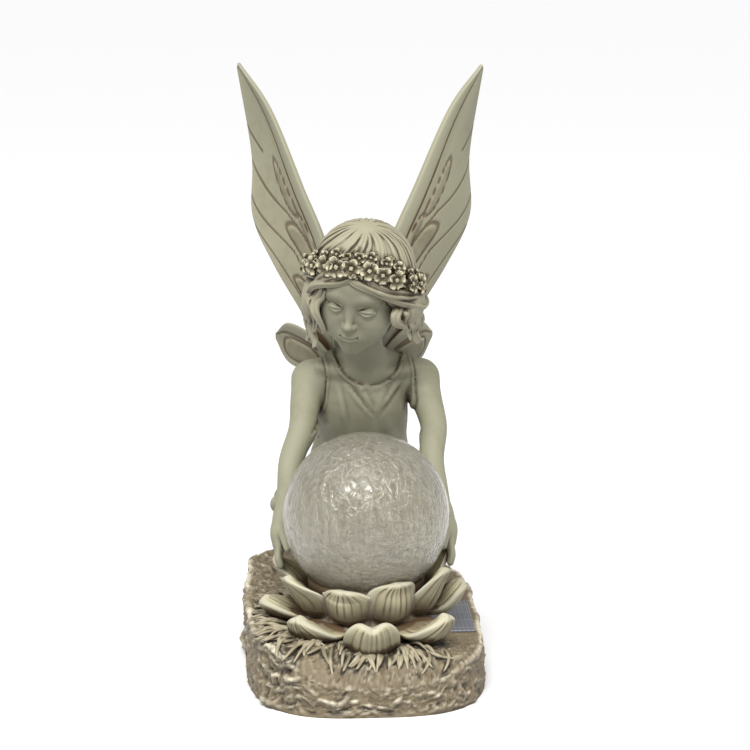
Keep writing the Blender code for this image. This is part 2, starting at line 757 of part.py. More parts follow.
def build_globe():
    bm = bmesh.new()
    lathe(bm, globe_profile(), 30)
    return new_object("globe", bm)


def build_lamp_holder():
    """A plug that closes the neck, with a light-emitting diode on it."""
    flange_top = NECK_END - GAP
    plug = NECK_DIAMETER / 2 - GLASS - GAP
    top = NECK_END + PLUG_HEIGHT
    led = LED_DIAMETER / 2
    profile = [(0, flange_top - FLANGE_THICK), (FLANGE_DIAMETER / 2, flange_top - FLANGE_THICK),
               (FLANGE_DIAMETER / 2, flange_top), (plug, flange_top), (plug, top), (led, top),
               (led, top + LED_HEIGHT - led)]
    for i in range(1, 3):
        a = math.pi / 2 * i / 3
        profile.append((led * math.cos(a), top + LED_HEIGHT - led + led * math.sin(a)))
    profile.append((0, top + LED_HEIGHT))
    bm = bmesh.new()
    lathe(bm, profile, 20)
    return new_object("lamp_holder", bm, smooth=False)


def panel_block(width, length, low, high):
    bm = bmesh.new()
    matrix = Matrix.Translation(PANEL_AT) @ Euler((math.radians(PANEL_SLOPE), 0, 0)).to_matrix().to_4x4()
    matrix = matrix @ Matrix.Translation((0, 0, (low + high) / 2)) @ Matrix.Diagonal((width, length, high - low, 1))
    bmesh.ops.create_cube(bm, size=1, matrix=matrix)
    return bm


def build_panel():
    bm = panel_block(PANEL_WIDTH, PANEL_LENGTH, -PANEL_THICK, 0)
    bmesh.ops.bevel(bm, geom=bm.edges[:], offset=0.15 * PANEL_THICK, segments=1, profile=0.5,
                    affect="EDGES", material=-1)
    return new_object("solar_panel", bm, smooth=False)


def build_statue(seats):
    """Models the girl in clay, joins the lotus, ground and flowers, and cuts the seats."""
    strokes = body_strokes() + skirt_strokes() + face_strokes() + hair_strokes() + sweep_strokes()
    heap = Heap()
    for stroke in strokes:
        if not stroke.cut:
            stroke.rough(heap)
    bm = bmesh.new()
    heap.put_in(bm)
    girl = new_object("girl", bm)
    fuse(girl, VOXEL)
    points = np.empty(len(girl.data.vertices) * 3, np.float32)
    girl.data.vertices.foreach_get("co", points)
    points = settle(points.reshape(-1, 3).astype(float), strokes)
    girl.data.vertices.foreach_set("co", points.astype(np.float32).ravel())

    bm = bmesh.new()
    lotus(bm)
    ground(bm)
    heap = Heap()
    flowers(heap)
    heap.put_in(bm)
    bm.from_mesh(girl.data)
    bpy.data.objects.remove(girl)
    statue = new_object("statue", bm)
    fuse(statue, VOXEL)
    thin_out(statue, STATUE_FACES)
    mend_slivers(statue)

    well = FLANGE_DIAMETER / 2 + GAP
    seat = ball_reach(GLOBE_HEIGHT)
    start = math.asin(well / seat)
    profile = [(0, NECK_END - GAP - FLANGE_THICK - GAP), (well, NECK_END - GAP - FLANGE_THICK - GAP)]
    for i in range(17):
        a = start + (math.pi - start) * i / 16
        profile.append((seat * math.sin(a), GLOBE_HEIGHT - seat * math.cos(a)))
    bm = bmesh.new()
    lathe(bm, profile, 36)
    ball = new_object("cutter", bm)
    cell = PANEL_WIDTH + 2 * GAP
    recess = new_object("cutter", panel_block(cell, PANEL_LENGTH + 2 * GAP, -PANEL_THICK - GAP, PANEL_CLEAR))
    bm = bmesh.new()
    below = Matrix.Translation((0, 0, -BASE_WIDTH)) @ Matrix.Scale(2 * BASE_WIDTH, 4)
    bmesh.ops.create_cube(bm, size=1, matrix=below)
    floor = new_object("cutter", bm)
    cut(statue, ball, recess, floor, *seats)
    mend_slivers(statue)
    keep_largest(statue)
    for face in statue.data.polygons:
        face.use_smooth = True
    return statue


def paint(obj, colour, roughness, alpha=1.0):
    material = bpy.data.materials.new(obj.name)
    material.use_nodes = True
    shader = material.node_tree.nodes["Principled BSDF"]
    shader.inputs["Base Color"].default_value = (*colour, 1)
    shader.inputs["Roughness"].default_value = roughness
    shader.inputs["Alpha"].default_value = alpha
    obj.data.materials.clear()
    obj.data.materials.append(material)


for old in list(bpy.data.objects):
    bpy.data.objects.remove(old)

wing_left, seats_left = build_wing("wing_left", -1)
wing_right, seats_right = build_wing("wing_right", 1)
statue = build_statue(seats_left + seats_right)
globe = build_globe()
lamp_holder = build_lamp_holder()
solar_panel = build_panel()

paint(statue, (0.46, 0.44, 0.35), 0.75)
paint(wing_left, (0.50, 0.48, 0.39), 0.75)
paint(wing_right, (0.50, 0.48, 0.39), 0.75)
paint(globe, (0.80, 0.82, 0.78), 0.15, 0.35)
paint(lamp_holder, (0.75, 0.75, 0.72), 0.45)
paint(solar_panel, (0.05, 0.06, 0.10), 0.25)
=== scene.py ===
"""Solar fairy garden statue: the visible pieces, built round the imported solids. Metres, +Z up."""
import math

import bmesh
import bpy
import numpy as np
from mathutils import Matrix, Vector, noise
from mathutils.bvhtree import BVHTree


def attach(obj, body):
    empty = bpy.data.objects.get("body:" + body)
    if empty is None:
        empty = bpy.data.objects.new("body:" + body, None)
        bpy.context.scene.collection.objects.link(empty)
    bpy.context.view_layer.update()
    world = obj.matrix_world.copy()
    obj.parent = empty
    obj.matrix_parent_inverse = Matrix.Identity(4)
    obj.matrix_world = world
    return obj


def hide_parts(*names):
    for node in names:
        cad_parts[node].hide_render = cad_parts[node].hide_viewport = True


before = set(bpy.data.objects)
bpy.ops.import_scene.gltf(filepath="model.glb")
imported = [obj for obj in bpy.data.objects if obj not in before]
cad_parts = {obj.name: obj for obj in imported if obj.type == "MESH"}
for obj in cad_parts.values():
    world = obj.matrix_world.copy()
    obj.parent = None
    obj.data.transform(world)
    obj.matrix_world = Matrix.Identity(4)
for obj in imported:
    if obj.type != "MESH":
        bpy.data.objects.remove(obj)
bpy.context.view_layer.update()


# Base.
# A rounded block of cast rock and turf with a bowed front, one casting with the lotus and the girl.
# Its ground climbs a little to the back and to the left, and a flat bed at the right takes the solar panel.
BASE_WIDTH = 0.145
BASE_FRONT = 0.105
BASE_BACK = 0.102
BASE_TOP = 0.034
BASE_RISE = 0.007
BASE_LEAN = 0.004
FRONT_LIP = 0.014
FRONT_FALL = 0.076
WALL_SHARE = 0.3
PANEL_DROP = 0.004
LEDGES = 0.0022
LUMPS = 0.0012
PITS = 0.00060
SCRATCHES = 0.00055
SCRATCH_GAP = 0.0024
PANEL_AT = (0.0520, -0.0050, 0.0290)
PANEL_WIDTH = 0.030
PANEL_LENGTH = 0.052
PANEL_SLOPE = 3.0
PANEL_SUNK = 0.0012
BED_RIM = 0.006


def piece(name, bm):
    """An object of the scene from a bmesh, shaded smooth."""
    for face in bm.faces:
        face.smooth = True
    mesh = bpy.data.meshes.new(name)
    bm.to_mesh(mesh)
    bm.free()
    obj = bpy.data.objects.new(name, mesh)
    bpy.context.scene.collection.objects.link(obj)
    return obj


def rows_of(mesh, key):
    """What every vertex holds under the key co or normal, as rows of three numbers."""
    found = np.empty(len(mesh.vertices) * 3, np.float32)
    mesh.vertices.foreach_get(key, found)
    return found.reshape(-1, 3)


def points_of(mesh):
    return rows_of(mesh, "co").astype(float)


def move_points(mesh, points):
    mesh.vertices.foreach_set("co", np.asarray(points, np.float32).ravel())
    mesh.update()


def loft(columns, rows, shape, mark=None):
    """A grid bent by shape(across, along), both 0 to 1, its seam welded and its ends filled.

    mark paints it: above 0 is a line that holds the wash, below 0 an edge that was brushed pale.
    """
    bm = bmesh.new()
    bmesh.ops.create_grid(bm, x_segments=columns, y_segments=rows, size=0.5)
    flat = np.array([vert.co[:2] for vert in bm.verts]) + 0.5
    for vert, place in zip(bm.verts, shape(flat[:, 0], flat[:, 1])):
        vert.co = place
    if mark:
        layer = bm.verts.layers.float.new("line")
        for vert, value in zip(bm.verts, mark(flat[:, 0], flat[:, 1])):
            vert[layer] = value
    bmesh.ops.remove_doubles(bm, verts=bm.verts, dist=1e-6)
    ends = [edge for edge in bm.edges if edge.is_boundary]
    if ends:
        bmesh.ops.holes_fill(bm, edges=ends, sides=0)
    bmesh.ops.recalc_face_normals(bm, faces=bm.faces)
    return bm


def ramp(value, low, high):
    """0 below low, 1 above high, smooth between."""
    share = np.clip((np.asarray(value, float) - low) / (high - low), 0, 1)
    return share * share * (3 - 2 * share)


def grain(points, size, seed):
    """Layered noise at each point, about -1 to 1."""
    out = np.empty(len(points))
    for i, place in enumerate(points):
        spot = Vector((place[0] / size + seed, place[1] / size, place[2] / size))
        out[i] = noise.fractal(spot, 0.6, 2.1, 3, noise_basis="PERLIN_ORIGINAL")
    return out


def base_outline(turn):
    right, back = np.cos(turn), np.sin(turn)
    power = np.where(back > 0, 5.0, 3.2)
    scale = (abs(right) ** power + abs(back) ** power) ** (-1 / power)
    deep = np.where(back > 0, BASE_BACK, BASE_FRONT)
    return BASE_WIDTH / 2 * right * scale, deep * back * scale


def ground_height(x, y):
    height = BASE_TOP + BASE_RISE * np.clip((y + 0.02) / 0.10, 0, 1) - BASE_LEAN * x / (BASE_WIDTH / 2)
    fall = np.clip((-y - FRONT_FALL) / (BASE_FRONT - FRONT_FALL), 0, 1)
    height = height - (height - FRONT_LIP) * fall**2
    return height - PANEL_DROP * np.clip((x - 0.030) / 0.03, 0, 1)


def base_shape(across, along):
    """The wall first, then the top in rings that close in on its middle."""
    turn = 2 * math.pi * across
    x, y = base_outline(turn)
    side = np.clip(1 - along / WALL_SHARE, 0, 1)
    inward = 0.98 * (1 - (along - WALL_SHARE) / (1 - WALL_SHARE))
    share = np.where(along < WALL_SHARE, 1 - 0.02 * along / WALL_SHARE, inward)
    top = ground_height(x * share, y * share)
    return np.stack([x * share, y * share, top * (1 - side)], axis=1)


def rough_up_base(obj):
    """Rock ledges at the sides, lumps and wrinkles of turf on top, and a level bed for the panel."""
    mesh = obj.data
    points, normals = points_of(mesh), rows_of(mesh, "normal")
    x, y, z = points.T
    warped = points + 0.006 * np.stack([grain(points, 0.02, seed) for seed in (3, 7, 11)], 1)
    ledges = grain(warped * [1, 1, 2.2], 0.021, 5)
    lumps = grain(points, 0.013, 21)
    pits = grain(points, 0.0032, 31)
    flow = np.sin((warped[:, 1] * 0.9 - abs(warped[:, 0]) * 0.35 + warped[:, 2] * 1.3) / SCRATCH_GAP)
    front, left = ramp(-y, 0.055, 0.085), ramp(-x, 0.035, 0.055)
    height = LEDGES * ledges * (0.40 + 0.45 * front + 0.9 * left) + LUMPS * lumps + PITS * pits
    height += SCRATCHES * flow * (0.30 + 0.70 * front) * ramp(lumps, -0.25, 0.3)
    beside = np.maximum(abs(x - PANEL_AT[0]) - PANEL_WIDTH / 2, abs(y - PANEL_AT[1]) - PANEL_LENGTH / 2)
    bed = ramp(BED_RIM - beside, 0, 0.004) * ramp(normals[:, 2], 0.2, 0.6)
    height *= ramp(z, 0.0002, 0.0020) * (1 - bed)
    points = points + normals * height[:, None]
    slope = PANEL_AT[2] + math.tan(math.radians(PANEL_SLOPE)) * (points[:, 1] - PANEL_AT[1])
    points[:, 2] = points[:, 2] * (1 - bed) + (slope - PANEL_SUNK) * bed
    points[:, 2] = np.where(z < 1e-5, 0, points[:, 2])
    move_points(mesh, points)


base = piece("base", loft(520, 108, base_shape))
rough_up_base(base)


# Lotus.
# Eight lower petals laid open on the turf and eight upper ones standing round the globe, part of the casting.
# Each is cupped, has a thick rolled rim and fine grooves that run from its root to its tip.
LOTUS_Y = -0.030
BOWL_RADIUS = 0.0362
BOWL_TOP = 0.0630
GLOBE_DIAMETER = 0.100
GLOBE_HEIGHT = 0.101
SEAT_GAP = 0.0006
PETAL_RIDGES = 0.00030
LOWER_THICK = 0.0064
UPPER_THICK = 0.0048
BOWL_STAIN = 0.7


def smooth_path(points, per_span):
    """A smooth curve through rows of numbers, with so many steps between two of them."""
    rows = np.asarray(points, float)
    ends = np.vstack([2 * rows[0] - rows[1], rows, 2 * rows[-1] - rows[-2]])
    out = []
    for a, b, c, d in zip(ends, ends[1:], ends[2:], ends[3:]):
        for t in np.linspace(0, 1, per_span, endpoint=False):
            bend = (2 * a - 5 * b + 4 * c - d) * t**2 + (3 * b - a - 3 * c + d) * t**3
            out.append(0.5 * (2 * b + (c - a) * t + bend))
    return np.vstack([out, rows[-1]])


def along_path(path, share):
    """Places at a share of the way along a path."""
    steps = np.linspace(0, 1, len(path))
    return np.stack([np.interp(share, steps, path[:, k]) for k in range(path.shape[1])], axis=1)


def way_along(path, share, reach):
    """The direction of a path at a share of the way along it, read over a short reach to both sides."""
    ahead = along_path(path, np.minimum(share + reach, 1)) - along_path(path, np.maximum(share - reach, 0))
    return ahead / np.linalg.norm(ahead, axis=1)[:, None]


def add_to(heap, bm):
    """Puts a bmesh into the heap and frees it."""
    mesh = bpy.data.meshes.new("part")
    bm.to_mesh(mesh)
    bm.free()
    heap.from_mesh(mesh)
    bpy.data.meshes.remove(mesh)


def spun(profile, closed=False):
    """A profile of radius and height turned round the middle of the lotus."""
    bm = bmesh.new()
    rim = [bm.verts.new((max(radius, 0.0), LOTUS_Y, height)) for radius, height in profile]
    for start, end in zip(rim, rim[1:] + (rim[:1] if closed else [])):
        bm.edges.new((start, end))
    bmesh.ops.spin(bm, geom=rim + bm.edges[:], cent=(0, LOTUS_Y, 0), axis=(0, 0, 1), angle=2 * math.pi,
                   steps=96, use_merge=True)
    bmesh.ops.remove_doubles(bm, verts=bm.verts, dist=1e-6)
    bmesh.ops.recalc_face_normals(bm, faces=bm.faces)
    return bm


def petal(turn, rise, width, thick, cup, dome, closing, point, notch, seed):
    """One plump petal along the line rise of (reach, height), turned from the front.

    cup curls its sides up and dome swells its inner face. closing and point shape its tip; notch dents it.
    """
    path = smooth_path(rise, 10)

    def breadth_of(along):
        open_part = 0.66 + 0.34 * np.sin(np.minimum(along / closing, 1) * math.pi / 2)
        rest = np.clip((along - closing) / (1.0004 - closing), 0, 1)
        blunt = min(max(1.05 - 0.25 * point, 0.5), 0.8)
        return np.where(along < closing, open_part, np.maximum(1 - rest**point, 0) ** blunt)

    def ridges(across, along):
        aside = np.cos(2 * math.pi * across)
        wave = np.sin(aside * 27 + 1.8 * np.sin(aside * 4 + seed) + seed)
        wave += 0.7 * np.sin(aside * 46 + 1.7 * seed)
        fade = ramp(along, 0.25, 0.5) * (1 - ramp(along, 0.86, 0.97)) * (1 - ramp(abs(aside), 0.8, 0.95))
        return wave * fade

    def shape(across, along):
        around = 2 * math.pi * across
        aside = np.cos(around)
        face = np.sign(np.sin(around)) * abs(np.sin(around)) ** 0.62
        line = along_path(path, along)
        step = way_along(path, along, 0.02)
        breadth = breadth_of(along)
        closed = np.sqrt(np.maximum(1 - np.maximum(along - 0.90, 0) ** 2 / 0.1001**2, 0))
        belly = np.where(face < 0, 0.9, dome) * np.exp(-(((along - 0.62) / 0.24) ** 2)) * (1 - aside**2)
        rim = 1 + 0.12 * ramp(along, 0.74, 0.93) - 0.22 * ramp(abs(aside), 0.55, 0.9) + belly
        crease = -0.0004 * np.exp(-(((aside - 0.15 * math.sin(seed)) / 0.10) ** 2)) * ramp(along, 0.3, 0.6)
        body = face * (thick / 2 * closed * rim + PETAL_RIDGES * ridges(across, along) + crease)
        curl = (aside * breadth) ** 2
        wobble = 0.0007 * np.sin(3.1 * aside + 4 * along + seed) * ramp(along, 0.3, 0.8)
        reach = line[:, 0] - cup * curl + (body + wobble) * step[:, 1]
        fold = notch * np.exp(-((aside * breadth / 0.30) ** 2)) * ramp(along, 0.72, 1.0)
        height = line[:, 1] + 0.35 * cup * curl - (body + wobble) * step[:, 0] - fold
        side = width / 2 * breadth * aside
        right, front = math.sin(turn), -math.cos(turn)
        x, y = reach * right - side * front, LOTUS_Y + reach * front + side * right
        return np.stack([x, y, height], axis=1)

    def grooves(across, along):
        rim = np.maximum(ramp(abs(np.cos(2 * math.pi * across)), 0.84, 0.97), ramp(along, 0.88, 0.97))
        # Toward its root each petal is painted darker: partly the wash, partly painted shade under the globe
        # and between the petals.
        root = 0.38 * (1 - ramp(along, 0.28, 0.56))
        held = 0.24 * np.clip(-ridges(across, along) - 0.1, 0, 1) * (1 - rim)
        return held + root - 0.9 * rim * ramp(along, 0.4, 0.6)

    return loft(92, 40, shape, grooves)


petals = bmesh.new()
# For each petal: its turn from the front, reach, height of its tip and width in mm, and how it closes.
lower = ((0, 61, 54, 34, 0.50, 2.8), (45, 63.5, 52, 36, 0.46, 1.25), (100, 61, 55, 29, 0.44, 1.25),
         (135, 58, 50, 32, 0.4, 1.5), (180, 55, 46, 31, 0.4, 2.0), (225, 57, 50, 32, 0.4, 1.5),
         (268, 62, 50, 34, 0.44, 1.25), (315, 61.5, 52, 37, 0.46, 1.25))
for i, (turn, reach, tip, width, closing, point) in enumerate(lower):
    reach, tip = reach / 1000, tip / 1000
    front = 0.0055 * max(math.cos(math.radians(turn)), 0) ** 2
    flat = math.sin(math.radians(turn)) ** 2
    rise = [(0.024, BASE_TOP + 0.006), (0.038, BASE_TOP + 0.004 + 0.002 * flat),
            (reach - 0.012, BASE_TOP + 0.0035 - front + 0.005 * flat),
            (reach - 0.0030, tip - 0.0095 * (1 - 0.65 * flat) - 0.3 * front),
            (reach - 0.001 + 0.002 * flat, tip)]
    notch = 0.0045 if i == 0 else 0.0
    add_to(petals, petal(math.radians(turn), rise, width / 1000, LOWER_THICK, 0.0050, 0.6, closing, point,
                         notch, i))
upper = ((22.5, 43.5, 70.5, 33, 0.42, 2.2), (67.5, 50.5, 73, 32, 0.38, 1.5), (112.5, 57, 77, 32, 0.36, 1.35),
         (157.5, 44.5, 72, 32, 0.36, 2.0), (202.5, 44.5, 72, 32, 0.36, 2.0),
         (247.5, 59, 70.5, 32, 0.36, 1.35), (292.5, 53, 70, 32, 0.38, 1.5),
         (337.5, 43.5, 66.5, 33, 0.42, 2.2))
for i, (turn, reach, tip, width, closing, point) in enumerate(upper):
    reach, tip = reach / 1000, tip / 1000
    flare = reach - 0.0435
    rise = [(0.030, BASE_TOP + 0.009), (0.0385, BASE_TOP + 0.013), (0.0420 + 0.3 * flare, 0.056),
            (reach - 0.001 - 0.2 * flare, tip - 0.007), (reach, tip)]
    add_to(petals, petal(math.radians(turn), rise, width / 1000, UPPER_THICK, 0.010, 0, closing, point,
                         0, i + 20))

profile = [(0.041, BASE_TOP - 0.004), (0.033, BASE_TOP + 0.010), (BOWL_RADIUS - 0.001, BOWL_TOP - 0.004),
           (BOWL_RADIUS - 0.001, BOWL_TOP - 0.001), (BOWL_RADIUS - 0.002, BOWL_TOP)]
seat = GLOBE_DIAMETER / 2 + SEAT_GAP
for i in range(10):
    radius = (BOWL_RADIUS - 0.0028) * (1 - i / 9) + 0.0205 * i / 9
    profile.append((radius, GLOBE_HEIGHT - math.sqrt(seat**2 - radius**2)))
profile.append((0.0203, 0.0400))
bowl = spun(profile)
stained = bowl.verts.layers.float.new("line")
for vert in bowl.verts:
    vert[stained] = BOWL_STAIN
add_to(petals, bowl)
lotus = piece("lotus", petals)


# Girl.
# A kneeling child in a sleeveless top and a short full skirt, her hands on the rim of the lotus.
# The master was modelled in clay: rounded strokes are blended into one skin here in the same way.
FAR = 1.0
PROBE = 0.00015
GIRL_NET = 0.00076
FACE_REACH = 0.030
HEAD = 0.0720
HEAD_AT = np.array([0.0010, 0.0200, 0.2295])
HEAD_TURN = np.array(Matrix.Rotation(math.radians(-20), 3, "Z") @ Matrix.Rotation(math.radians(18), 3, "X")
                     @ Matrix.Rotation(math.radians(8), 3, "Y"))


def ball_template(subdivisions):
    bm = bmesh.new()
    bmesh.ops.create_icosphere(bm, subdivisions=subdivisions, radius=1)
    points = np.array([v.co[:] for v in bm.verts])
    faces = np.array([[v.index for v in f.verts] for f in bm.faces])
    bm.free()
    return points, faces


FINE_BALL = ball_template(3)
ROUGH_BALL = ball_template(1)


class Egg:
    """An egg of clay: centre, three radii, and a rotation matrix. cut takes it away."""

    def __init__(self, centre, radii, turn=None, blend=0.003, cut=False):
        self.centre = np.asarray(centre, float)
        self.radii = np.broadcast_to(np.asarray(radii, float), 3)
        self.turn = np.eye(3) if turn is None else np.asarray(turn, float)
        self.blend = blend
        self.cut = cut

    def box(self):
        reach = np.sqrt(((self.turn * self.radii) ** 2).sum(1))
        return self.centre - reach, self.centre + reach

    def parts(self, points, margin):
        return None

    def distance(self, points, parts):
        off = points - self.centre[:, None, None].astype(np.float32)
        local = np.tensordot((self.turn / self.radii).T.astype(np.float32), off, 1)
        by_radius = np.sqrt((local**2).sum(0))
        local /= self.radii[:, None, None].astype(np.float32)
        return by_radius * (by_radius - 1) / np.maximum(np.sqrt((local**2).sum(0)), 1e-6)

    def rough(self):
        yield FINE_BALL, self.turn * self.radii, self.centre


class Roll:
    """A roll of clay along a smooth path of x, y, z, radius; flat squeezes it along a direction."""

    def __init__(self, rows, blend=0.003, cut=False, flat=None, share=1.0):
        self.rows = smooth_path(rows, 5)
        self.blend = blend
        self.cut = cut
        self.flat = None if flat is None else np.asarray(flat, float) / np.linalg.norm(flat)
        self.share = share

    def box(self):
        reach = self.rows[:, 3:4]
        return (self.rows[:, :3] - reach).min(0), (self.rows[:, :3] + reach).max(0)

    def parts(self, points, margin):
        """For each stretch of the roll, which of the points are near it."""
        found = []
        for start, end in zip(self.rows, self.rows[1:]):
            low = np.minimum(start[:3] - start[3], end[:3] - end[3]) - margin
            high = np.maximum(start[:3] + start[3], end[:3] + end[3]) + margin
            inside = ((points > low[:, None]) & (points < high[:, None])).all(0)
            found.append(np.flatnonzero(inside))
        return found

    def distance(self, points, parts):
        best = np.full(points.shape[1:], FAR, np.float32)
        for start, end, near in zip(self.rows, self.rows[1:], parts):
            if not near.size:
                continue
            spot = np.float32(start)
            along = np.float32(end[:3] - start[:3])
            x, y, z = points[0][:, near] - spot[0], points[1][:, near] - spot[1], points[2][:, near] - spot[2]
            t = (x * along[0] + y * along[1] + z * along[2]) / max(float(along @ along), 1e-12)
            np.clip(t, 0, 1, out=t)
            x -= t * along[0]
            y -= t * along[1]
            z -= t * along[2]
            square = x * x + y * y + z * z
            if self.flat is not None:
                through = x * self.flat[0] + y * self.flat[1] + z * self.flat[2]
                square = square + through * through * (1 / self.share**2 - 1)
            here = np.sqrt(square) - np.float32(start[3]) - np.float32(end[3] - start[3]) * t
            best[:, near] = np.minimum(best[:, near], here)
        return best if self.flat is None else best * np.float32(0.5 + 0.5 * self.share)

    def rough(self):
        squeeze = np.eye(3)
        if self.flat is not None:
            squeeze = squeeze - (1 - self.share) * np.outer(self.flat, self.flat)
        last = None
        for row in self.rows:
            if last is not None and np.linalg.norm(row[:3] - last[:3]) < 0.35 * last[3]:
                continue
            yield ROUGH_BALL, squeeze * row[3] * 1.05, row[:3]
            last = row


def blended(points, jobs):
    """Distance from the points to the surface that all the strokes make together."""
    found = np.full(points.shape[1:], FAR, np.float32)
    for stroke, near, parts in jobs:
        if not near.size:
            continue
        old = found[:, near]
        new = stroke.distance(points[:, :, near], parts)
        if stroke.cut:
            overlap = np.maximum(stroke.blend - abs(old + new), 0) / stroke.blend
            found[:, near] = np.maximum(old, -new) + overlap**2 * (stroke.blend / 4)
        else:
            overlap = np.maximum(stroke.blend - abs(old - new), 0) / stroke.blend
            found[:, near] = np.minimum(old, new) - overlap**2 * (stroke.blend / 4)
    return found


def settle(points, strokes, passes, play=0.002):
    """Moves points onto the blended surface, one step along its slope at a time."""
    points = np.ascontiguousarray(points.T, np.float32)
    jobs = []
    for stroke in strokes:
        low, high = stroke.box()
        margin = stroke.blend + play
        near = ((points > (low - margin)[:, None]) & (points < (high + margin)[:, None])).all(0)
        near = np.flatnonzero(near)
        jobs.append((stroke, near, stroke.parts(points[:, near], margin)))
    offsets = np.float32(np.hstack([np.zeros((3, 1)), np.eye(3) * PROBE]))[:, :, None]
    for _ in range(passes):
        found = blended(points[:, None, :] + offsets, jobs)
        slope = (found[1:] - found[0]) / PROBE
        steep = np.maximum((slope**2).sum(0), 0.2)
        step = np.clip(found[0] / steep, -0.003, 0.003)
        step[abs(found[0]) > 0.5] = 0
        points -= step * slope
    return points.T.astype(float)


def apply_modifiers(obj):
    graph = bpy.context.evaluated_depsgraph_get()
    mesh = bpy.data.meshes.new_from_object(obj.evaluated_get(graph))
    old = obj.data
    obj.modifiers.clear()
    obj.data = mesh
    bpy.data.meshes.remove(old)


def relaxed(mesh, points, rounds):
    """Evens out a net of points without shrinking it much."""
    edges = np.empty(len(mesh.edges) * 2, np.int64)
    mesh.edges.foreach_get("vertices", edges)
    start, end = edges.reshape(-1, 2).T
    count = np.bincount(np.concatenate([start, end]), minlength=len(points))[:, None]
    for _ in range(rounds):
        total = np.zeros_like(points)
        for k in range(3):
            total[:, k] = (np.bincount(start, points[end, k], len(points))
                           + np.bincount(end, points[start, k], len(points)))
        points = 0.5 * points + 0.5 * total / np.maximum(count, 1)
    return points


def model_in_clay(name, strokes, net, most, fine=None):
    """Roughs the strokes out, fuses them into one skin, and settles it onto their blended surface.

    net is the width of its meshes and most the triangles that it keeps. It is made twice as fine inside the
    ball fine, given as a middle and a radius.
    """
    verts, faces, count = [], [], 0
    for stroke in strokes:
        if stroke.cut:
            continue
        for (points, corners), matrix, centre in stroke.rough():
            verts.append(points @ np.asarray(matrix).T + centre)
            faces.append(corners + count)
            count += len(points)
    mesh = bpy.data.meshes.new(name)
    mesh.from_pydata(np.vstack(verts).tolist(), [], np.vstack(faces).tolist())
    obj = bpy.data.objects.new(name, mesh)
    bpy.context.scene.collection.objects.link(obj)
    modifier = obj.modifiers.new("fuse", "REMESH")
    modifier.mode = "VOXEL"
    modifier.voxel_size = net
    apply_modifiers(obj)
    mesh = obj.data
    if fine:
        bm = bmesh.new()
        bm.from_mesh(mesh)
        near = {vert for vert in bm.verts if (vert.co - Vector(fine[0])).length < fine[1]}
        edges = [edge for edge in bm.edges if edge.verts[0] in near and edge.verts[1] in near]
        bmesh.ops.subdivide_edges(bm, edges=edges, cuts=1, use_grid_fill=True)
        bm.to_mesh(mesh)
        bm.free()
    points = settle(points_of(mesh), strokes, 2)
    points = settle(relaxed(mesh, points, 2), strokes, 2)
    move_points(mesh, points)
    if 2 * len(mesh.polygons) > most:
        modifier = obj.modifiers.new("thin out", "DECIMATE")
        modifier.ratio = most / (2 * len(mesh.polygons))
        modifier.use_collapse_triangulate = True
        apply_modifiers(obj)
    obj.data.validate()
    obj.data.shade_smooth()
    return obj


def mm(*rows):
    """Rows written in millimetres, in metres."""
    return np.asarray(rows, float) / 1000


def on_head(*place):
    """A place given in head lengths from the middle of the head: right, back, up."""
    return HEAD_AT + HEAD * (HEAD_TURN @ np.asarray(place, float))


def head_egg(place, radii, blend=0.05, cut=False):
    return Egg(on_head(*place), np.asarray(radii) * HEAD, HEAD_TURN, blend * HEAD, cut)


def head_roll(rows, blend, cut=False):
    return Roll([[*on_head(*row[:3]), row[3] * HEAD] for row in rows], blend * HEAD, cut)


def hand_strokes(side):
    """A hand laid on the rim of the lotus, with four fingers and a thumb."""
    strokes = [Roll(mm((side * 49, -6, 95, 5.2), (side * 51.5, -12, 87, 5.6),
                       (side * 51, -16, 80, 5.0)), 0.004)]
    for finger in range(4):
        spread = finger - 1.5
        strokes.append(Roll(mm((side * 51, -16 - spread * 2.6, 80, 2.7),
                               (side * 52.5, -19 - spread * 3.2, 74, 2.4),
                               (side * 51.5, -20 - spread * 3.6, 69, 2.1)), 0.0015))
    strokes.append(Roll(mm((side * 50, -11, 90, 3), (side * 49, -21, 86, 2.7),
                           (side * 47, -27, 80, 2.3)), 0.002))
    return strokes


def body_strokes():
    strokes = [
        Roll(mm((3, 50, 167, 23), (3, 51, 150, 27.5), (3, 57, 130, 27), (2, 64, 106, 32)), 0.008,
             flat=(0, 1, 0.15), share=0.72),
        Roll(mm((-28, 52, 168, 10.5), (-12, 50, 173, 11.5), (4, 48, 174, 12), (24, 50, 172, 11.5),
                (39, 52, 168, 10.5)), 0.008),
        Roll(mm((4, 49, 170, 13), (4, 41, 183, 11.5), (2, 32, 200, 12)), 0.008),
        Egg((0.0, 0.064, 0.066), (0.042, 0.034, 0.030), None, 0.012),
        # collar bones
        Roll(mm((-24, 42, 177, 2.5), (-10, 36.5, 175, 2.6), (0, 35.5, 173, 2.2)), 0.005),
        Roll(mm((34, 42, 176, 2.5), (20, 36.5, 174.5, 2.6), (9, 35.5, 173, 2.2)), 0.005),
    ]
    for side, x in ((-1, -30), (1, 40)):
        strokes.append(Roll(mm((x, 51, 167, 11), (x + side * 3, 42, 155, 9.5), (x + side * 6, 27, 141, 8.2),
                               (side * 43.2, 11, 125, 7.6), (side * 46, 1, 109, 6.4),
                               (side * 49, -6, 95, 5.2)), 0.006))
        strokes += hand_strokes(side)
        strokes.append(Roll(mm((side * 20, 40, 50, 13), (side * 21, 62, 49, 12), (side * 18, 84, 48, 8.5),
                               (side * 16, 98, 45, 5)), 0.008))
    return strokes


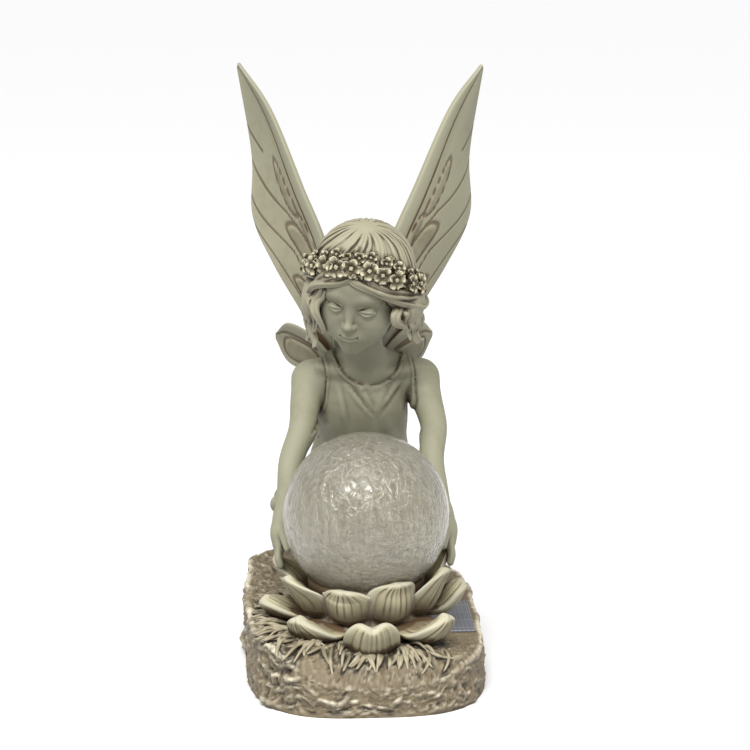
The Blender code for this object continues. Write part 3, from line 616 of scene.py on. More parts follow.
def skirt_strokes():
    """A short full skirt: folds that hang from the waist and flare to the hem."""
    strokes = []
    folds = 25
    for i in range(folds):
        a = 2 * math.pi * i / folds + 0.12
        right, back = math.cos(a), math.sin(a)
        sway = 0.5 * math.sin(3.7 * i) + 0.5 * math.sin(1.9 * i)
        deep = 1.5 * (i % 2)
        reach = 49 if right < 0 else 45
        hem = 66 + 4 * sway
        if right < -0.7:
            hem += 18
        middle = (0.86 * reach - deep) * right, max(28, 63 + (31 - deep) * back), (hem + 98) / 2, 4.6
        foot = (reach - deep) * right, max(28, 64 + 36 * back), hem, 5.0 + 0.5 * sway
        strokes.append(Roll(mm((3 + 21 * right, 59 + 15.5 * back, 121, 3),
                               (2 + 31 * right, 62 + 23 * back, 105, 3.8), middle, foot), 0.0022))
    return strokes


def face_strokes():
    """A calm child's face on ordinary proportions."""
    strokes = [
        head_egg((0, 0.05, 0.13), (0.335, 0.42, 0.37)),
        head_egg((0, -0.17, 0.16), (0.275, 0.215, 0.24), 0.12),
        head_egg((0, -0.10, -0.15), (0.270, 0.245, 0.30), 0.14),
        head_egg((0, -0.135, -0.31), (0.185, 0.19, 0.155), 0.10),
        head_egg((0, -0.262, -0.430), (0.072, 0.062, 0.058), 0.09),
    ]
    for side in (-1, 1):
        strokes += [
            head_egg((side * 0.155, -0.225, -0.190), (0.115, 0.105, 0.120), 0.12),
            head_egg((side * 0.215, -0.10, -0.05), (0.09, 0.14, 0.12), 0.12),
            head_egg((side * 0.142, -0.405, -0.006), (0.085, 0.044, 0.040), 0.09, cut=True),
        ]
    strokes += [
        head_roll([(0, -0.352, 0.08, 0.026), (0, -0.372, 0, 0.022), (0, -0.400, -0.08, 0.024),
                   (0, -0.422, -0.142, 0.031)], 0.07),
        head_egg((0, -0.424, -0.150), (0.034, 0.034, 0.030), 0.03),
    ]
    upper_lid = ((0.070, -0.345, -0.022, 0.007), (0.098, -0.363, -0.004, 0.010),
                 (0.137, -0.370, 0.002, 0.011), (0.173, -0.356, -0.003, 0.010),
                 (0.202, -0.327, -0.017, 0.007))
    lower_lid = ((0.068, -0.345, -0.023, 0.006), (0.104, -0.362, -0.034, 0.008),
                 (0.140, -0.367, -0.038, 0.008), (0.178, -0.350, -0.031, 0.007),
                 (0.206, -0.327, -0.017, 0.006))
    brow = ((0.058, -0.366, 0.098, 0.008), (0.130, -0.370, 0.112, 0.010), (0.220, -0.312, 0.078, 0.008))
    for side in (-1, 1):
        strokes += [
            head_egg((side * 0.037, -0.388, -0.160), (0.024, 0.030, 0.021), 0.03),
            head_egg((side * 0.137, -0.315, -0.012), (0.060, 0.050, 0.053), 0.010),
        ]
        for rows, blend in ((upper_lid, 0.014), (lower_lid, 0.016), (brow, 0.07)):
            strokes.append(head_roll([(side * x, y, z, r) for x, y, z, r in rows], blend))

    def across(*half):
        """Rows from one corner of the mouth to its middle, and on to the other corner."""
        return [(-x, y, z, r) for x, y, z, r in half] + [row for row in reversed(half) if row[0]]

    strokes += [
        head_egg((0, -0.308, -0.272), (0.095, 0.080, 0.080), 0.08),
        head_roll(across((0.060, -0.352, -0.262, 0.006), (0.034, -0.378, -0.256, 0.0145),
                         (0.011, -0.391, -0.250, 0.0165), (0, -0.390, -0.254, 0.0155)), 0.016),
        head_roll(across((0.052, -0.354, -0.274, 0.007), (0.027, -0.376, -0.294, 0.0170),
                         (0, -0.382, -0.298, 0.0195)), 0.016),
        head_roll(across((0.066, -0.352, -0.260, 0.002), (0.034, -0.390, -0.272, 0.0040),
                         (0, -0.402, -0.272, 0.0042)), 0.010, cut=True),
        head_roll([(0, -0.416, -0.192, 0.007), (0, -0.408, -0.228, 0.008)], 0.03, cut=True),
        head_roll(across((0.04, -0.380, -0.345, 0.013), (0, -0.390, -0.348, 0.016)), 0.06, cut=True),
    ]
    for side in (-1, 1):
        strokes.append(head_egg((side * 0.017, -0.415, -0.180), (0.009, 0.012, 0.007), 0.012, cut=True))
    return strokes


# Folds that hang from the chest, in mm: start, slope, reach, width and depth of each.
DRAPES = ((-10, 0.75, 26, 1.7, 0.9), (-1, 0.45, 20, 1.5, 0.7), (26, -0.75, 24, 1.7, 0.9),
          (18, -0.40, 22, 1.5, 0.7), (6, 0.10, 14, 1.6, 0.6), (-14, 0.2, 30, 1.6, 0.6),
          (30, -0.15, 30, 1.7, 0.7))
CLOTH_MM = 1.2
HEM_MM = 0.5


def dress(obj):
    """Raises the cloth of the top and skirt above the skin, with its hems, neckline and armholes as steps."""
    points, normals = points_of(obj.data), rows_of(obj.data, "normal")
    x, y, z = (points * 1000).T
    scoop = np.sqrt(np.where(y < 50, ((x - 6.5) / 22) ** 2 + ((z - 192) / 25) ** 2,
                             ((x - 6.5) / 23) ** 2 + ((z - 196) / 20) ** 2))
    left = np.interp(z, [100, 140, 148, 155, 173, 190, 200], [-60, -30, -23.6, -21, -19.5, -24, -26])
    right = np.interp(z, [100, 138, 146, 156, 175, 191, 200], [60, 38, 34, 36, 34.5, 31, 30])
    edge = np.minimum((scoop - 1) * 23, np.minimum(x - left, right - x))
    torso = ramp(200 - z, 0, 1) * ramp(y, 18, 22)
    cloth = ramp(edge, -0.2, 0.5) * torso
    hem = cloth * (1 - ramp(edge, 1.6, 2.1)) * ramp(z, 138, 142)
    cloth = np.where(z < 128, ramp(y, 20, 26), cloth) * ramp(z, 44, 60)
    fold = np.sin(x * 0.55 + z * 0.12) * ramp(z, 118, 124) * (1 - ramp(z, 132, 150)) * 0.45
    tug = np.zeros(len(points))
    drop = 170 - z
    for start, slope, reach, width, depth in DRAPES:
        line = x - start - slope * drop
        length = ramp(drop, 0, 7) * (1 - ramp(drop, reach - 9, reach))
        crest, trough = np.exp(-((line / width) ** 2)), np.exp(-(((line - 2.6) / width) ** 2))
        tug += depth * length * (crest - 0.6 * trough)
    front = ramp(-normals[:, 1], -0.1, 0.4)
    lift = cloth * (CLOTH_MM + fold + tug * front) + HEM_MM * hem
    move_points(obj.data, points + normals * (lift / 1000)[:, None])
    shade = 0.7 * np.exp(-(((edge + 0.3) / 0.7) ** 2)) * ramp(z, 132, 140) * torso
    shade = np.maximum(shade, 0.3 * np.exp(-(((edge - 2.5) / 0.5) ** 2)) * cloth * ramp(z, 138, 142))
    shade = np.maximum(shade, np.clip(-tug, 0, 1) * 1.1 * cloth * front)
    layer = obj.data.attributes.new("line", "FLOAT", "POINT")
    layer.data.foreach_set("value", shade.astype(np.float32))


girl = model_in_clay("girl", body_strokes() + skirt_strokes() + face_strokes(), GIRL_NET, 195000,
                     (on_head(0, -0.33, -0.12), FACE_REACH))
dress(girl)


# Hair.
# Smooth combed hair that falls from the crown of the head to the flowers and hangs below them in waves.
# Each lock is a roll of clay with a groove beside it, part of the casting.
CAP_AT = (-0.006, 0.055, 0.14)
CAP = (0.416, 0.447, 0.440)
CAP_ROUND = 0.44
HAIR_NET = 0.00058


def on_cap(turn, up, out=0.0):
    """A place on the cap of the hair, in head lengths; turn 0 is over the face.

    Below the cap's middle the hair hangs straight.
    """
    ring = math.sqrt(max(1 - (max(up - CAP_AT[2], 0) / CAP[2]) ** 2, 0))
    return on_head(CAP_AT[0] + (CAP[0] * ring + out) * math.sin(turn),
                   CAP_AT[1] - (CAP[1] * ring + out) * math.cos(turn), up)


def band_height(turn):
    """The line of the flower crown, high over the face and low at the back."""
    return 0.12 + 0.28 * math.cos(turn)


def combed_strokes():
    """Strands that run from the crown to the band over a smooth cap."""
    crown = (CAP_AT[0], CAP_AT[1], CAP_AT[2] + CAP[2] - 0.033)
    strokes = [head_egg(CAP_AT, CAP, 0.03), head_egg(crown, (0.075, 0.075, 0.04), 0.03)]
    strands = 30
    for i in range(2 * strands):
        fine = i % 2
        turn = math.pi * (i + 0.35 * math.sin(2.7 * i)) / strands
        end = math.acos(min(max((band_height(turn) - CAP_AT[2]) / CAP[2], -1), 1)) + 0.1
        rows = []
        for share in (0.04, 0.16, 0.32, 0.5, 0.68, 0.84, 1.0):
            lean = turn + 0.07 * math.sin(1.3 * i) * share + 0.12 * math.sin(5.0 * share + 0.4 * math.sin(i))
            polar = share * end
            size = 0.003 + (0.017 if fine else 0.029) * math.sin(polar)
            lift = 0.006 + (0.010 if fine else 0.022) * math.sin(polar) - size
            place = on_head(CAP_AT[0] + (CAP[0] + lift) * math.sin(polar) * math.sin(lean),
                            CAP_AT[1] - (CAP[1] + lift) * math.sin(polar) * math.cos(lean),
                            CAP_AT[2] + (CAP[2] + lift) * math.cos(polar))
            rows.append([*place, size * HEAD])
        strokes.append(Roll(rows, 0.0005))
    return strokes


def lock(rows, wave, seed, size=0.026):
    """A lock of three strands that wave together.

    Rows are the turn in degrees, the height, and the distance off the cap.
    """
    path = smooth_path(rows, 3)
    way = np.gradient(path[:, :2] * [math.radians(1) * CAP_ROUND, 1], axis=0)
    way /= np.maximum(np.linalg.norm(way, axis=1), 1e-6)[:, None]
    strokes = []
    for k in range(3):
        aside = (k - 1) * 1.45 * size
        line = []
        for step, (turn, up, out) in enumerate(path):
            share = step / (len(path) - 1)
            swing = wave * math.sin(8.5 * share + seed) * (0.3 + 0.7 * share) + aside * (1 - 0.8 * share**2)
            bulge = 0.5 * wave * math.cos(8.5 * share + seed + 0.8) + 0.012 * math.sin(2.1 * k + seed)
            bent = math.radians(turn) - swing * way[step, 1] / CAP_ROUND
            place = on_cap(bent, up + swing * way[step, 0], out + bulge)
            girth = 0.75 + 0.4 * math.sin(math.pi * min(share * 1.2, 1)) - 0.40 * share**3
            line.append([*place, size * HEAD * girth])
        strokes.append(Roll(line, 0.0005))
    return strokes


def hanging_locks():
    """Wavy locks below the flowers: full masses beside the face, and a fall down the back."""
    strokes = [head_egg((-0.385, -0.07, -0.10), (0.110, 0.22, 0.24)),
               head_egg((0.415, 0.02, -0.07), (0.125, 0.22, 0.21)),
               head_egg((0, 0.30, -0.12), (0.38, 0.22, 0.34))]
    for i, turn in enumerate((-40, -49, -58, -67, -77, -88, -100, -112)):
        top = min(band_height(math.radians(turn)) - 0.05, 0.31 + 0.0045 * turn)
        end = -0.29 - 0.05 * math.sin(2.2 * i)
        strokes += lock([(turn + 3, top, 0.00), (turn - 4, top - 0.12, 0.035 + 0.02 * (i % 2)),
                         (turn + 2, top - 0.24, 0.05), (turn + 5 - 0.1 * i, end, 0.02)], 0.030, 1.9 * i)
    for i, turn in enumerate((54, 63, 72, 82, 92, 103, 114, 124)):
        top = min(band_height(math.radians(turn)) - 0.05, 0.34 - 0.0045 * turn)
        end = -0.24 - 0.05 * math.sin(1.7 * i)
        strokes += lock([(turn - 3, top, 0.00), (turn + 3, top - 0.09, 0.05 + 0.02 * (i % 2)),
                         (turn - 2, top - 0.18, 0.08), (turn + 9, end, 0.10 - 0.008 * i)], 0.032, 2.3 * i)
    for i in range(14):
        turn = 126 + 114 * i / 13
        strokes += lock([(turn, band_height(math.radians(turn)) - 0.04, 0.00), (turn, -0.18, 0.03),
                         (turn, -0.34, 0.01), (turn, -0.50 - 0.05 * math.sin(2.9 * i), 0.01)], 0.026, 2.7 * i)
    strokes += lock([(-76, -0.16, 0.03), (-66, -0.30, 0.01), (-58, -0.42, 0.00), (-50, -0.50, 0.02)],
                    0.022, 0.7)
    strokes += lock([(-88, -0.20, 0.04), (-82, -0.38, 0.04), (-72, -0.54, 0.03)], 0.030, 2.0)
    strokes += lock([(80, -0.16, 0.07), (78, -0.30, 0.08), (88, -0.40, 0.12)], 0.030, 4.0)
    return strokes


# Turn, height, how much of a lock's own rise it follows, and distance off the cap, from the parting outwards.
SWEPT_RIGHT = ((8, 0.262, 1, 0.03, 0), (28, 0.208, 1, 0.045, 0.01), (50, 0.125, 1, 0.055, 0.01),
               (72, 0.030, 1, 0.08, 0), (88, -0.065, 0.9, 0.12, 0.03), (102, -0.105, 0.8, 0.13, 0.03),
               (112, -0.09, 0.7, 0.10, 0.03))
SWEPT_LEFT = ((-14, 0.264, 1, 0.03, 0), (-34, 0.170, 1, 0.045, 0.01), (-54, 0.050, 1, 0.055, 0.01),
              (-78, -0.08, 1, 0.09, 0))


def swept_locks():
    """Locks swept over the forehead from a parting to both sides; the right one ends in a flick."""
    strokes = []
    for k in range(3):
        rise = 0.062 * k
        for first, rows, wave, seed in ((-1 - k, SWEPT_RIGHT, 0.032, 1.9 * k),
                                        (-k, SWEPT_LEFT, 0.034, 1.7 * k)):
            path = [(first, 0.31 + rise * 0.5, 0.01)]
            path += [(turn, up + share * rise, out - less * k) for turn, up, share, out, less in rows]
            strokes += lock(path, wave, seed, 0.0185)
    return strokes


hair = model_in_clay("hair", combed_strokes() + hanging_locks() + swept_locks(), HAIR_NET, 190000)


# Grass.
# Blades of turf that fan out from under the lotus and lie on the ground, cast with it.
BLADE_WIDTH = 0.0033
GRASS_SIDE = 0.070
GRASS_FRONT = 0.0675
rng = np.random.default_rng(7)


def blade(turn, start, length, bend, width, rise):
    """A flat tapered blade that leaves the lotus at turn from the front and bends to one side."""
    rows = []
    heading = turn
    x, y = start * math.sin(turn), LOTUS_Y - start * math.cos(turn)
    for k in range(7):
        share = k / 6
        lift = rise * math.sin(math.pi * min(share * 1.15, 1)) + 0.0004
        rows.append((x, y, float(ground_height(np.array(x), np.array(y))) + lift))
        heading += bend / 6
        x += length / 6 * math.sin(heading)
        y -= length / 6 * math.cos(heading)
    path = np.array(rows)

    def shape(across, along):
        around = 2 * math.pi * across
        step = way_along(path, along, 0.05)
        side = np.cross(step, [0, 0, 1])
        side /= np.linalg.norm(side, axis=1)[:, None]
        up = np.cross(side, step)
        girth = width / 2 * np.minimum(1, 0.5 + 2 * along) * np.sqrt(np.maximum(1 - along**1.6, 0.0))
        wide = (girth * np.cos(around))[:, None] * side
        return along_path(path, along) + wide + (girth * 0.8 * np.sin(around))[:, None] * up

    return loft(7, 8, shape)


grass_heap = bmesh.new()
for middle, count in ((-1.45, 10), (-1.15, 13), (-0.90, 16), (-0.65, 16), (-0.35, 10), (-0.08, 7), (0.12, 10),
                      (0.38, 12), (0.62, 9), (-1.75, 11), (-2.05, 11), (-2.4, 8), (2.5, 7), (2.9, 7)):
    for _ in range(count):
        turn = middle + rng.normal(0, 0.13)
        start = rng.uniform(0.045, 0.060)
        length = rng.uniform(0.012, 0.026) if abs(middle) > 0.4 else rng.uniform(0.008, 0.015)
        edge = min(GRASS_SIDE / max(abs(math.sin(turn)), 0.01), GRASS_FRONT / max(math.cos(turn), 0.01))
        length = min(length, edge - start)
        bend, width = rng.normal(0.0, 0.9), BLADE_WIDTH * rng.uniform(0.7, 1.2)
        add_to(grass_heap, blade(turn, start, length, bend, width, rng.uniform(0.0002, 0.0026)))
grass = piece("grass", grass_heap)


# Flower crown.
# Five-petalled blossoms with button centres, set close together round the hair, with small leaves between.
BLOSSOM = 0.0128
BLOSSOMS = 21
LEAF = 0.0075


def set_down(bm, place, facing, size, turn=0.0):
    """Puts a piece that was modelled looking along Z at its place, facing away from the hair."""
    stance = Vector(facing).to_track_quat("Z", "Y").to_matrix().to_4x4() @ Matrix.Rotation(turn, 4, "Z")
    bmesh.ops.transform(bm, verts=bm.verts, matrix=Matrix.Translation(place) @ stance @ Matrix.Scale(size, 4))
    return bm


def blossom(place, facing, size, turn):
    """One flower: five rounded cupped petals round a knobbed button, on a small calyx.

    The wash lies at its heart, and the rims of its petals and the button are brushed pale.
    """
    bm = bmesh.new()
    layer = bm.verts.layers.float.new("line")
    for k in range(5):
        spin = turn + 2 * math.pi * k / 5
        made = bmesh.ops.create_uvsphere(bm, u_segments=12, v_segments=7, radius=1)["verts"]
        for vert in made:
            x, y, z = vert.co
            wide = 0.265 * (0.74 + 0.34 * y)
            fold = -0.05 * math.exp(-((x / 0.22) ** 2)) * max(y + 0.6, 0)
            lift = 0.060 * z + 0.20 * x * x + 0.13 * y * abs(y) + fold + 0.08
            vert.co = Vector((x * wide, 0.220 * y + 0.285, lift))
            heart = max(0.0, 0.20 - 1.1 * y) + max(0.0, abs(x) - 0.75)
            vert[layer] = 0.7 if z < -0.1 else heart - 1.1 * max(0.0, y - 0.10)
        bmesh.ops.rotate(bm, verts=made, cent=(0, 0, 0), matrix=Matrix.Rotation(spin, 3, "Z"))
    for k in range(4):
        knob = bmesh.ops.create_icosphere(bm, subdivisions=2, radius=0.070)["verts"]
        spin = turn + math.pi * k / 2
        bmesh.ops.translate(bm, verts=knob, vec=(0.050 * math.cos(spin), 0.050 * math.sin(spin), 0.15))
        for vert in knob:
            vert[layer] = -0.3
    stem = bmesh.ops.create_icosphere(bm, subdivisions=2, radius=0.2)["verts"]
    bmesh.ops.translate(bm, verts=stem, vec=(0, 0, -0.06))
    for vert in stem:
        vert[layer] = 1.0
    return set_down(bm, place, facing, size)


def leaf(place, facing, size, turn):
    """A pointed leaf with a fold down its middle."""
    bm = bmesh.new()
    bmesh.ops.create_uvsphere(bm, u_segments=8, v_segments=6, radius=1)
    for vert in bm.verts:
        x, y, z = vert.co
        taper = 1 - 0.75 * max(y, 0) ** 2
        vert.co = Vector((0.20 * x * taper, 0.45 * y + 0.35, 0.06 * z + 0.10 * abs(x)))
    return set_down(bm, place, facing, size, turn)


crown_heap = bmesh.new()
for row, drop, share in ((0, 0.0, 1.0), (1, -0.066, 0.66), (1, 0.070, 0.66)):
    for i in range(BLOSSOMS):
        turn = 2 * math.pi * (i + 0.5 * row) / BLOSSOMS + rng.normal(0, 0.03)
        up = band_height(turn) - drop + rng.normal(0, 0.012)
        out = 0.070 - (0.038 if drop else 0)
        place = on_cap(turn, up, out)
        facing = on_cap(turn, up, out + 0.2) - place
        facing = facing / np.linalg.norm(facing) + HEAD_TURN @ np.array([0, 0, -5.5 * drop + 0.12])
        facing = facing + rng.normal(0, 0.10, 3)
        size = BLOSSOM * share * rng.uniform(0.90, 1.08)
        add_to(crown_heap, blossom(place, facing, size, rng.uniform(0, 6.3)))
        if row:
            place = on_cap(turn + 0.08, up - 0.4 * drop, out - 0.01)
            add_to(crown_heap, leaf(place, facing, LEAF, rng.uniform(0, 6.3)))
flower_crown = piece("flower_crown", crown_heap)


# Wings.
# Two castings of the same resin, each a tall upper lobe and a short lower one, glued into the back.
# Their faces carry raised cells near the thick leading edge and engraved veins that run to the rear edge.
WING_THICK = 0.0030
WING_RIB = 0.0034
LOWER_RIB = 0.0008
VEIN_DEPTH = 0.00055
GROOVE_DEPTH = 0.0005
CELL_HEIGHT = 0.0007


def line_depth(chord, span, points, half):
    """How near each place on a wing is to a drawn line, 1 on it and 0 at half away."""
    best = np.full(len(chord), 9.0)
    for (a, b), (c, d) in zip(points, points[1:]):
        way = np.array([(c - a) * 0.35, d - b])
        off = np.stack([(chord - a) * 0.35, span - b])
        t = np.clip((off[0] * way[0] + off[1] * way[1]) / (way @ way), 0, 1)
        best = np.minimum(best, np.hypot(off[0] - t * way[0], off[1] - t * way[1]))
    return np.exp(-((best / half) ** 2))


def cell(chord, span, middle, half, slant):
    """A raised cell with a rounded outline: its plateau, and the groove round it."""
    u = (chord - middle[0] - slant * (span - middle[1])) / half[0]
    v = (span - middle[1]) / half[1]
    away = (abs(u) ** 3 + abs(v) ** 3) ** (1 / 3)
    return 1 - ramp(away, 0.72, 1.0), np.exp(-(((away - 1.05) / 0.09) ** 2))


UPPER_VEINS = (((1, 0.88), (0.80, 0.82), (0.62, 0.76)), ((1, 0.79), (0.72, 0.68), (0.44, 0.56), (0.36, 0.50)),
               ((1, 0.68), (0.80, 0.55), (0.58, 0.42), (0.50, 0.30)),
               ((1, 0.57), (0.90, 0.42), (0.80, 0.28), (0.66, 0.16)))
UPPER_CELLS = (((0.40, 0.43), (0.105, 0.085), 0.9), ((0.34, 0.62), (0.055, 0.085), 0.5),
               ((0.245, 0.46), (0.035, 0.07), 0.2), ((0.64, 0.28), (0.10, 0.060), 1.2),
               ((0.40, 0.24), (0.09, 0.080), 0.6))


def upper_relief(chord, span):
    """Relief on the face of an upper lobe: its height in metres, and how dark the wash lies in it."""
    line = line_depth(chord, span, [(0.17, 0.08), (0.17, 0.6), (0.22, 0.97)], 0.0032)
    for vein in UPPER_VEINS:
        line = np.maximum(line, line_depth(chord, span, vein, 0.0025))
    height, tint = -VEIN_DEPTH * line, np.zeros(len(chord))
    for middle, half, slant in UPPER_CELLS:
        plateau, groove = cell(chord, span, middle, half, slant)
        height += CELL_HEIGHT * plateau - GROOVE_DEPTH * groove * (1 - plateau)
        line = np.maximum(line * (1 - plateau), 0.6 * groove * (1 - plateau))
        tint = np.maximum(tint, plateau * 0.17)
    return height, np.maximum(line, tint)


def lower_relief(chord, span):
    """The same for a lower lobe, with one cell."""
    line = line_depth(chord, span, [(0.28, 0.30), (0.25, 0.95)], 0.010)
    plateau, groove = cell(chord, span, (0.60, 0.50), (0.24, 0.24), 0)
    line = np.maximum(line * (1 - plateau), 0.6 * groove * (1 - plateau))
    return -GROOVE_DEPTH * line + CELL_HEIGHT * plateau, np.maximum(line, 0.16 * plateau)


def lobe(lead, trail, columns, rows, rib, relief):
    """A lobe of a wing as a flat loop of points between its two edges."""

    lead, trail = smooth_path(lead, 10), smooth_path(trail, 10)

    def shape(across, along):
        around = 2 * math.pi * across
        chord = (1 - np.cos(around)) / 2
        face = np.sign(np.sin(around)) * abs(np.sin(around)) ** 0.45
        front, rear = along_path(lead, along), along_path(trail, along)
        ahead = along_path(lead, np.minimum(along + 0.01, 1)) - along_path(lead, np.maximum(along - 0.01, 0))
        bow = np.cross(rear - front + 1e-7, ahead)
        bow /= np.maximum(np.linalg.norm(bow, axis=1), 1e-9)[:, None]
        size = np.linalg.norm(rear - front, axis=1)
        thick = (WING_THICK + 2 * rib * np.maximum(1 - chord / 0.3, 0) ** 1.5) * (1 - 0.45 * along)
        thick = thick / 2 + relief(chord, along)[0] * np.minimum(size / 0.02, 1)
        height = 0.05 * size * np.sin(chord * math.pi) + face * thick
        return front + (rear - front) * chord[:, None] + bow * height[:, None]

    def washed(across, along):
        chord = (1 - np.cos(2 * math.pi * across)) / 2
        pale = 0.6 * (1 - ramp(chord, 0.08, 0.14))
        return relief(chord, along)[1] * (1 - ramp(along, 0.93, 0.99)) - pale

    return loft(columns, rows, shape, washed)


def wing(name, side, reach, tip):
    """Both lobes of a wing. The reach sideways and the tip of the upper lobe are given in mm."""
    heap = bmesh.new()
    lead = mm((side * 9, 64, 168), (side * 14, 72, 205), (0.26 * reach, 77, 246), (0.47 * reach, 90, 283),
              (0.76 * reach, 108, 331), tip)
    trail = mm((side * 11, 69, 163), (0.44 * reach, 84, 198), (0.74 * reach, 102, 232),
               (0.93 * reach, 116, 262), (0.93 * reach, 122, 300), (tip[0] + side, 123, tip[2] - 3))
    add_to(heap, lobe(lead, trail, 170, 270, WING_RIB, upper_relief))
    lead = mm((side * 9, 66, 172), (side * 26, 74, 190), (side * 42, 80, 198), (side * 50, 84, 191))
    trail = mm((side * 10, 67, 158), (side * 26, 76, 165), (side * 42, 84, 172), (side * 50, 85, 187))
    add_to(heap, lobe(lead, trail, 70, 70, LOWER_RIB, lower_relief))
    return piece(name, heap)


wing_left = wing("wing_left_casting", -1, -68, (-71, 122, 359))
wing_right = wing("wing_right_casting", 1, 83, (84.5, 122, 357))


# Antique finish and painted shade.
# A pale stone-coloured coat, a thin brown wash that stays in every hollow when it is wiped off,
# and a dry brush of near-white on what stands proud. It goes over the whole casting at once.
# The darkening in the deeper hollows and between the pieces is partly that wash and partly painted shade,
# and every face is painted lighter where it looks up and darker where it looks down.
WASH_AND_SHADE_REACH = 0.0045
FINE_REACH = 0.0011
BRUSH_REACH = 0.0011
ROCK_BRUSH_REACH = 0.0026
casting = [base, lotus, girl, hair, grass, flower_crown, wing_left, wing_right]


def read_hollows(pieces):
    """Writes how deep in a hollow of all the pieces, and how proud of its own piece, each point is."""

    def surface_of(*meshes):
        bm = bmesh.new()
        for mesh in meshes:
            bm.from_mesh(mesh)
        found = BVHTree.FromBMesh(bm)
        bm.free()
        return found

    around = surface_of(*[obj.data for obj in pieces])
    for obj in pieces:
        mesh = obj.data
        points, within = points_of(mesh), surface_of(mesh)
        ridge = -ROCK_BRUSH_REACH if obj is base else -BRUSH_REACH
        # The deep reading, taken across all the pieces, darkens deep hollows and the gaps between pieces:
        # partly the brown wash, partly painted shade.
        hollows = (("deep", around, WASH_AND_SHADE_REACH), ("fine", around, FINE_REACH), ("proud", within, ridge))
        found = {key: np.zeros(len(points)) for key, tree, reach in hollows}
        for i, vert in enumerate(mesh.vertices):
            for key, tree, reach in hollows:
                near = tree.find_nearest(vert.co + vert.normal * reach, abs(reach))
                if near[0] is not None:
                    found[key][i] = 1 - near[3] / abs(reach)
        found["proud"] *= ramp(points[:, 2], 0.001, 0.006)
        if obj is flower_crown:
            # Petals this thin would read as proud all over, so only their painted tips catch the brush.
            found["proud"] *= 0.1
        if obj is girl:
            face = 1 - ramp(np.linalg.norm(points - on_head(0, -0.30, -0.10), axis=1), 0.020, 0.030)
            found["deep"] *= 1 - 0.75 * face
            found["fine"] *= 1 - 0.75 * face
        for key, values in found.items():
            layer = mesh.attributes.new(key, "FLOAT", "POINT")
            layer.data.foreach_set("value", values.astype(np.float32))


read_hollows(casting)


def feed(tree, node, values):
    """Sets a node's sockets, by name or number; a value that is itself a socket is linked."""
    for key, value in values.items():
        if isinstance(value, bpy.types.NodeSocket):
            tree.links.new(value, node.inputs[key])
        else:
            node.inputs[key].default_value = value


def add_node(tree, kind, values, **settings):
    """A new node of a material or group, with its settings and what its sockets hold."""
    node = tree.nodes.new(kind)
    for key, value in settings.items():
        setattr(node, key, value)
    feed(tree, node, values)
    return node


def worked(tree, operation, *values, clamp=False):
    """The result of a sum over sockets and numbers."""
    values = dict(enumerate(values))
    return add_node(tree, "ShaderNodeMath", values, operation=operation, use_clamp=clamp).outputs[0]


def spread(tree, value, **ends):
    """A value taken from one range to another; from_min stands for the socket From Min, and so on."""
    ends = {key.replace("_", " ").title(): end for key, end in ends.items()}
    return add_node(tree, "ShaderNodeMapRange", {"Value": value, **ends})


def mixed(tree, factor, first, second):
    mix = add_node(tree, "ShaderNodeMix", {}, data_type="RGBA")
    feed(tree, mix, {"Factor": factor, "A": first, "B": second})
    return mix.outputs["Result"]


def surface(name):
    """A new material: itself, its nodes and its shader."""
    material = bpy.data.materials.new(name)
    material.use_nodes = True
    return material, material.node_tree, material.node_tree.nodes["Principled BSDF"]


